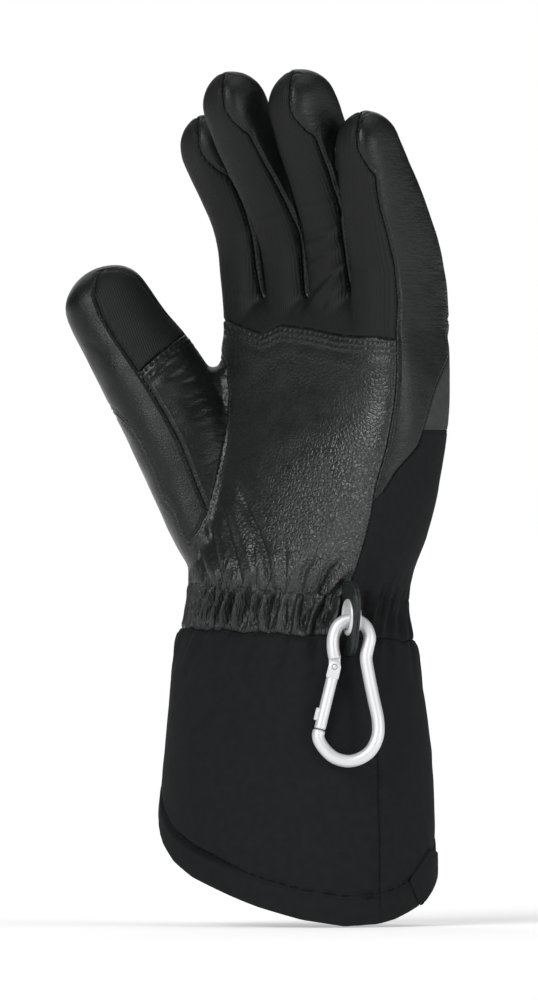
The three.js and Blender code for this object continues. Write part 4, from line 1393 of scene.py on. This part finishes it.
def bumped(tree, shader, sources):
    """Bump nodes in a row: height, distance in mm, strength."""
    last = {}
    for height, distance, strength in sources:
        inputs = {"Distance": distance * MM, "Strength": strength, "Height": height}
        last = {"Normal": node(tree, "Bump", "Normal", inputs | last)}
    connect(tree, shader.inputs["Normal"], last["Normal"])


def coords(tree, scale=(1, 1, 1), turn=(0, 0, 0)):
    inputs = {
        "Vector": node(tree, "TexCoord", "Object", {}),
        "Scale": scale,
        "Rotation": [math.radians(a) for a in turn],
    }
    return node(tree, "Mapping", "Vector", inputs)


def noise(tree, vec, size, detail=3.0, out="Fac"):
    """Noise with cells of a size in mm."""
    inputs = {"Scale": 1 / (size * MM), "Detail": detail, "Vector": vec}
    return node(tree, "TexNoise", out, inputs)


def spread(tree, fac, low, high, a, b):
    """Maps the range from low to high onto the one from a to b."""
    inputs = {"Value": fac, "From Min": low, "From Max": high, "To Min": a, "To Max": b}
    return node(tree, "MapRange", "Result", inputs)


def cells(tree, vec, size, stir):
    """Pebbles of a size in mm: height falls off towards the cracks between them."""
    push = noise(tree, vec, size * 2.2, 2.0, "Color")
    inputs = {0: push, 1: [stir * size * MM] * 3, 2: vec}
    moved = node(tree, "VectorMath", "Vector", inputs, operation="MULTIPLY_ADD")
    inputs = {"Scale": 1 / (size * MM), "Vector": moved}
    crack = node(tree, "TexVoronoi", "Distance", inputs, feature="DISTANCE_TO_EDGE")
    return spread(tree, crack, 0.0, 0.28, 0, 1)


def times(tree, a, b):
    return node(tree, "Math", "Value", {0: a, 1: b}, operation="MULTIPLY")


def tinted(tree, shader, fac, dark, light):
    inputs = {0: fac, 6: (*dark, 1), 7: (*light, 1)}
    tint = node(tree, "Mix", 2, inputs, data_type="RGBA")
    connect(tree, shader.inputs["Base Color"], tint)


def leather(name, dark, light, pebble, depth, rough, shine, shine_off_highlight, lump, faint, wrinkle):
    """Pebbled leather, with the strongest grain in the middle of the palm, and a painted highlight there:
    the specular level is highest there and lower towards the edges, which is painted shade.
    """
    m, tree, b = material(name, dark, rough)
    vec = coords(tree)
    peb = cells(tree, vec, pebble, 0.8)
    # Distance from where the palm's highlight falls: the grain is strongest there, and the specular level
    # is raised there as a painted highlight
    inputs = {0: vec, 1: turned(17, 30, 30) * MM}
    from_palm_highlight = node(tree, "VectorMath", "Value", inputs, operation="DISTANCE")
    strong = spread(tree, from_palm_highlight, 0.016, 0.045, 1.0, faint)
    tinted(tree, b, peb, dark, light)
    uneven_rough = spread(tree, noise(tree, vec, 9), 0.3, 0.7, rough - 0.07, rough + 0.08)
    connect(tree, b.inputs["Roughness"], uneven_rough)
    # Painted highlight and painted shade: specular level high round the palm's highlight, lower away from
    # it
    connect(tree, b.inputs["Specular IOR Level"], spread(tree, from_palm_highlight, 0.02, 0.06, shine, shine_off_highlight))
    height_of = node(tree, "SeparateXYZ", "Z", {"Vector": vec})
    wrist_zone = spread(tree, height_of, 0.008, 0.02, 1.0, 0.0)
    tall = coords(tree, (1, 1, 0.3))
    rows = [
        (times(tree, peb, strong), depth, 0.8),
        (times(tree, cells(tree, vec, pebble * 0.45, 0.6), strong), depth * 0.3, 0.5),
        (noise(tree, vec, 6), lump, 0.25),
        (times(tree, noise(tree, tall, 1.1), wrist_zone), 0.9, 0.8),
    ]
    if wrinkle:
        long = coords(tree, (0.25, 0.25, 1.0), (0, 18, 0))
        rows.append((noise(tree, long, 1.5, 2), wrinkle, 0.6))
    bumped(tree, b, rows)
    return m


RIB = 0.95


def ribbed(name, dark, light, turn):
    m, tree, b = material(name, dark, 0.6)
    vec = coords(tree, turn=turn)
    inputs = {
        "Scale": math.pi / 10 / (RIB * MM), "Distortion": 0.5, "Detail": 1.0, "Vector": vec,
    }
    wave = node(tree, "TexWave", "Fac", inputs, wave_type="BANDS", bands_direction="X")
    tinted(tree, b, wave, dark, light)
    knots = coords(tree, (1, 1, 0.8), turn)
    bumped(tree, b, [
        (wave, 0.12, 0.7),
        (noise(tree, knots, 0.8, 2), 0.1, 0.5),
        (noise(tree, vec, 12), 0.8, 0.2),
    ])
    b.inputs["Specular IOR Level"].default_value = 0.26
    return m


def woven(name, dark, light, rough, shine, grain=0.9):
    m, tree, b = material(name, dark, rough)
    vec = coords(tree)
    fine = noise(tree, vec, grain, 2)
    tinted(tree, b, spread(tree, noise(tree, vec, 3.5, 4), 0.35, 0.65, 0, 1), dark, light)
    bumped(tree, b, [(fine, 0.14, 0.6), (noise(tree, vec, 14, 3), 1.2, 0.12)])
    b.inputs["Specular IOR Level"].default_value = shine
    return m


# Leathers: dark, light, pebble, its depth, roughness, shine at the painted highlight on the palm, shine
# away from it as painted shade, lumps, faint grain, wrinkles
LEATHERS = {
    "palm_leather": (
        (0.010, 0.011, 0.011), (0.014, 0.015, 0.015), 1.7, 0.34, 0.36, 0.74, 0.44, 0.6, 0.3, 0.0,
    ),
    "plain_leather": (
        (0.004, 0.005, 0.005), (0.007, 0.008, 0.008), 1.1, 0.10, 0.39, 0.38, 0.34, 0.35, 0.5, 0.0,
    ),
    "side_leather": (
        (0.003, 0.004, 0.004), (0.006, 0.007, 0.007), 1.2, 0.10, 0.38, 0.38, 0.36, 0.35, 0.35, 0.3,
    ),
    "tab_leather": (
        (0.008, 0.013, 0.011), (0.014, 0.020, 0.017), 1.0, 0.06, 0.4, 0.45, 0.4, 0.4, 0.5, 0.0,
    ),
}
hides = {name: leather(name, *looks) for name, looks in LEATHERS.items()}
CLOTH_TONES = ((0.003, 0.0035, 0.0033), (0.007, 0.008, 0.0075))
ribbed_cloth = ribbed("ribbed_cloth", *CLOTH_TONES, (0, 0, 0))
thumb_cloth = ribbed("thumb_cloth", *CLOTH_TONES, (0, 28, -45))
softshell = woven("softshell", (0.0095, 0.0105, 0.011), (0.0115, 0.0125, 0.013), 0.88, 0.14)
grey_cloth = woven("grey_cloth", (0.034, 0.035, 0.035), (0.042, 0.043, 0.043), 0.8, 0.3)
lining = woven("lining", (0.012, 0.012, 0.013), (0.018, 0.018, 0.019), 0.95, 0.1, 1.6)
thread_mat = woven("thread", (0.006, 0.006, 0.006), (0.010, 0.010, 0.010), 0.7, 0.3, 0.4)
LOOK = {
    "palm": hides["palm_leather"], "finger_front": ribbed_cloth, "thumb_pad": thumb_cloth,
    "side_panel": hides["side_leather"], "thumb_base": hides["side_leather"],
    "ring_wrap": hides["side_leather"], "back_insert": grey_cloth, "back_shell": softshell,
    "cuff_front": softshell, "cuff_back": softshell, "hem_band": softshell, "pull_tab": softshell,
    "hang_tab": hides["tab_leather"],
}
metal_mat, tree_m, b_m = material("satin_aluminium", (0.74, 0.75, 0.76), 0.5, 0.55)
vec_m = coords(tree_m)
satin = spread(tree_m, noise(tree_m, vec_m, 2.5), 0.3, 0.7, 0.45, 0.56)
connect(tree_m, b_m.inputs["Roughness"], satin)
bumped(tree_m, b_m, [
    (noise(tree_m, vec_m, 0.35, 2), 0.03, 0.35), (noise(tree_m, vec_m, 4, 2), 0.1, 0.2),
])
METAL = ("eyelet", "snap_hook", "snap_gate")
for name, ob in pieces.items():
    ob.data.materials.clear()
    ob.data.materials.append(metal_mat if name in METAL else LOOK.get(name, hides["plain_leather"]))
    if name not in METAL:
        ob.data.materials.append(lining)
        ob.data.materials.append(thread_mat)

# Stage: pale floor that meets an equally pale background, and soft suns
WHITE = (1, 1, 1, 1)
FLOOR = -0.1301
FLOOR_HALF = 400
stage_mat, stage_tree, pale = material("pale", (0.9, 0.9, 0.9), 1.0)
for key, value in {
    "Specular IOR Level": 0, "Emission Color": WHITE, "Emission Strength": 0.40,
}.items():
    connect(stage_tree, pale.inputs[key], value)
corners = [(x * FLOOR_HALF, y * FLOOR_HALF, FLOOR) for x, y in ((-1, -1), (1, -1), (1, 1), (-1, 1))]
floor = new_object("floor", new_mesh("floor", corners, [(0, 1, 2, 3)]))
floor.data.materials.append(stage_mat)
world = bpy.data.worlds.new("world")
bpy.context.scene.world = world
world.use_nodes = True
wt = world.node_tree
lit, seen = [
    node(wt, "Background", "Background", {"Color": WHITE, "Strength": strength})
    for strength in (0.06, 1.0)
]
ray = node(wt, "LightPath", "Is Camera Ray", {})
mixed = node(wt, "MixShader", "Shader", {"Fac": ray, 1: lit, 2: seen})
connect(wt, wt.nodes["World Output"].inputs["Surface"], mixed)
bpy.context.scene.view_settings.view_transform = "Standard"

# Suns, by directions in the photo's plane: across, towards the camera, up, strength, softness
SUNS = {
    "key": (-0.5, 0.8, 0.5, 1.9, 34),
    "fill": (0.72, 0.66, 0.05, 1.2, 28),
    "top": (0.3, 0.1, 1.0, 0.5, 40),
    "side": (0.95, 0.2, 0.35, 0.2, 40),
    "rear": (-0.2, -1.0, 0.7, 0.8, 60),
}
for name, (across, front, up, strength, softness) in SUNS.items():
    light = bpy.data.lights.new(name, "SUN")
    light.energy = strength
    light.angle = math.radians(softness)
    ob = new_object(name, light)
    ob.rotation_euler = Vector(turned(across, front, up)).to_track_quat("Z", "Y").to_euler()
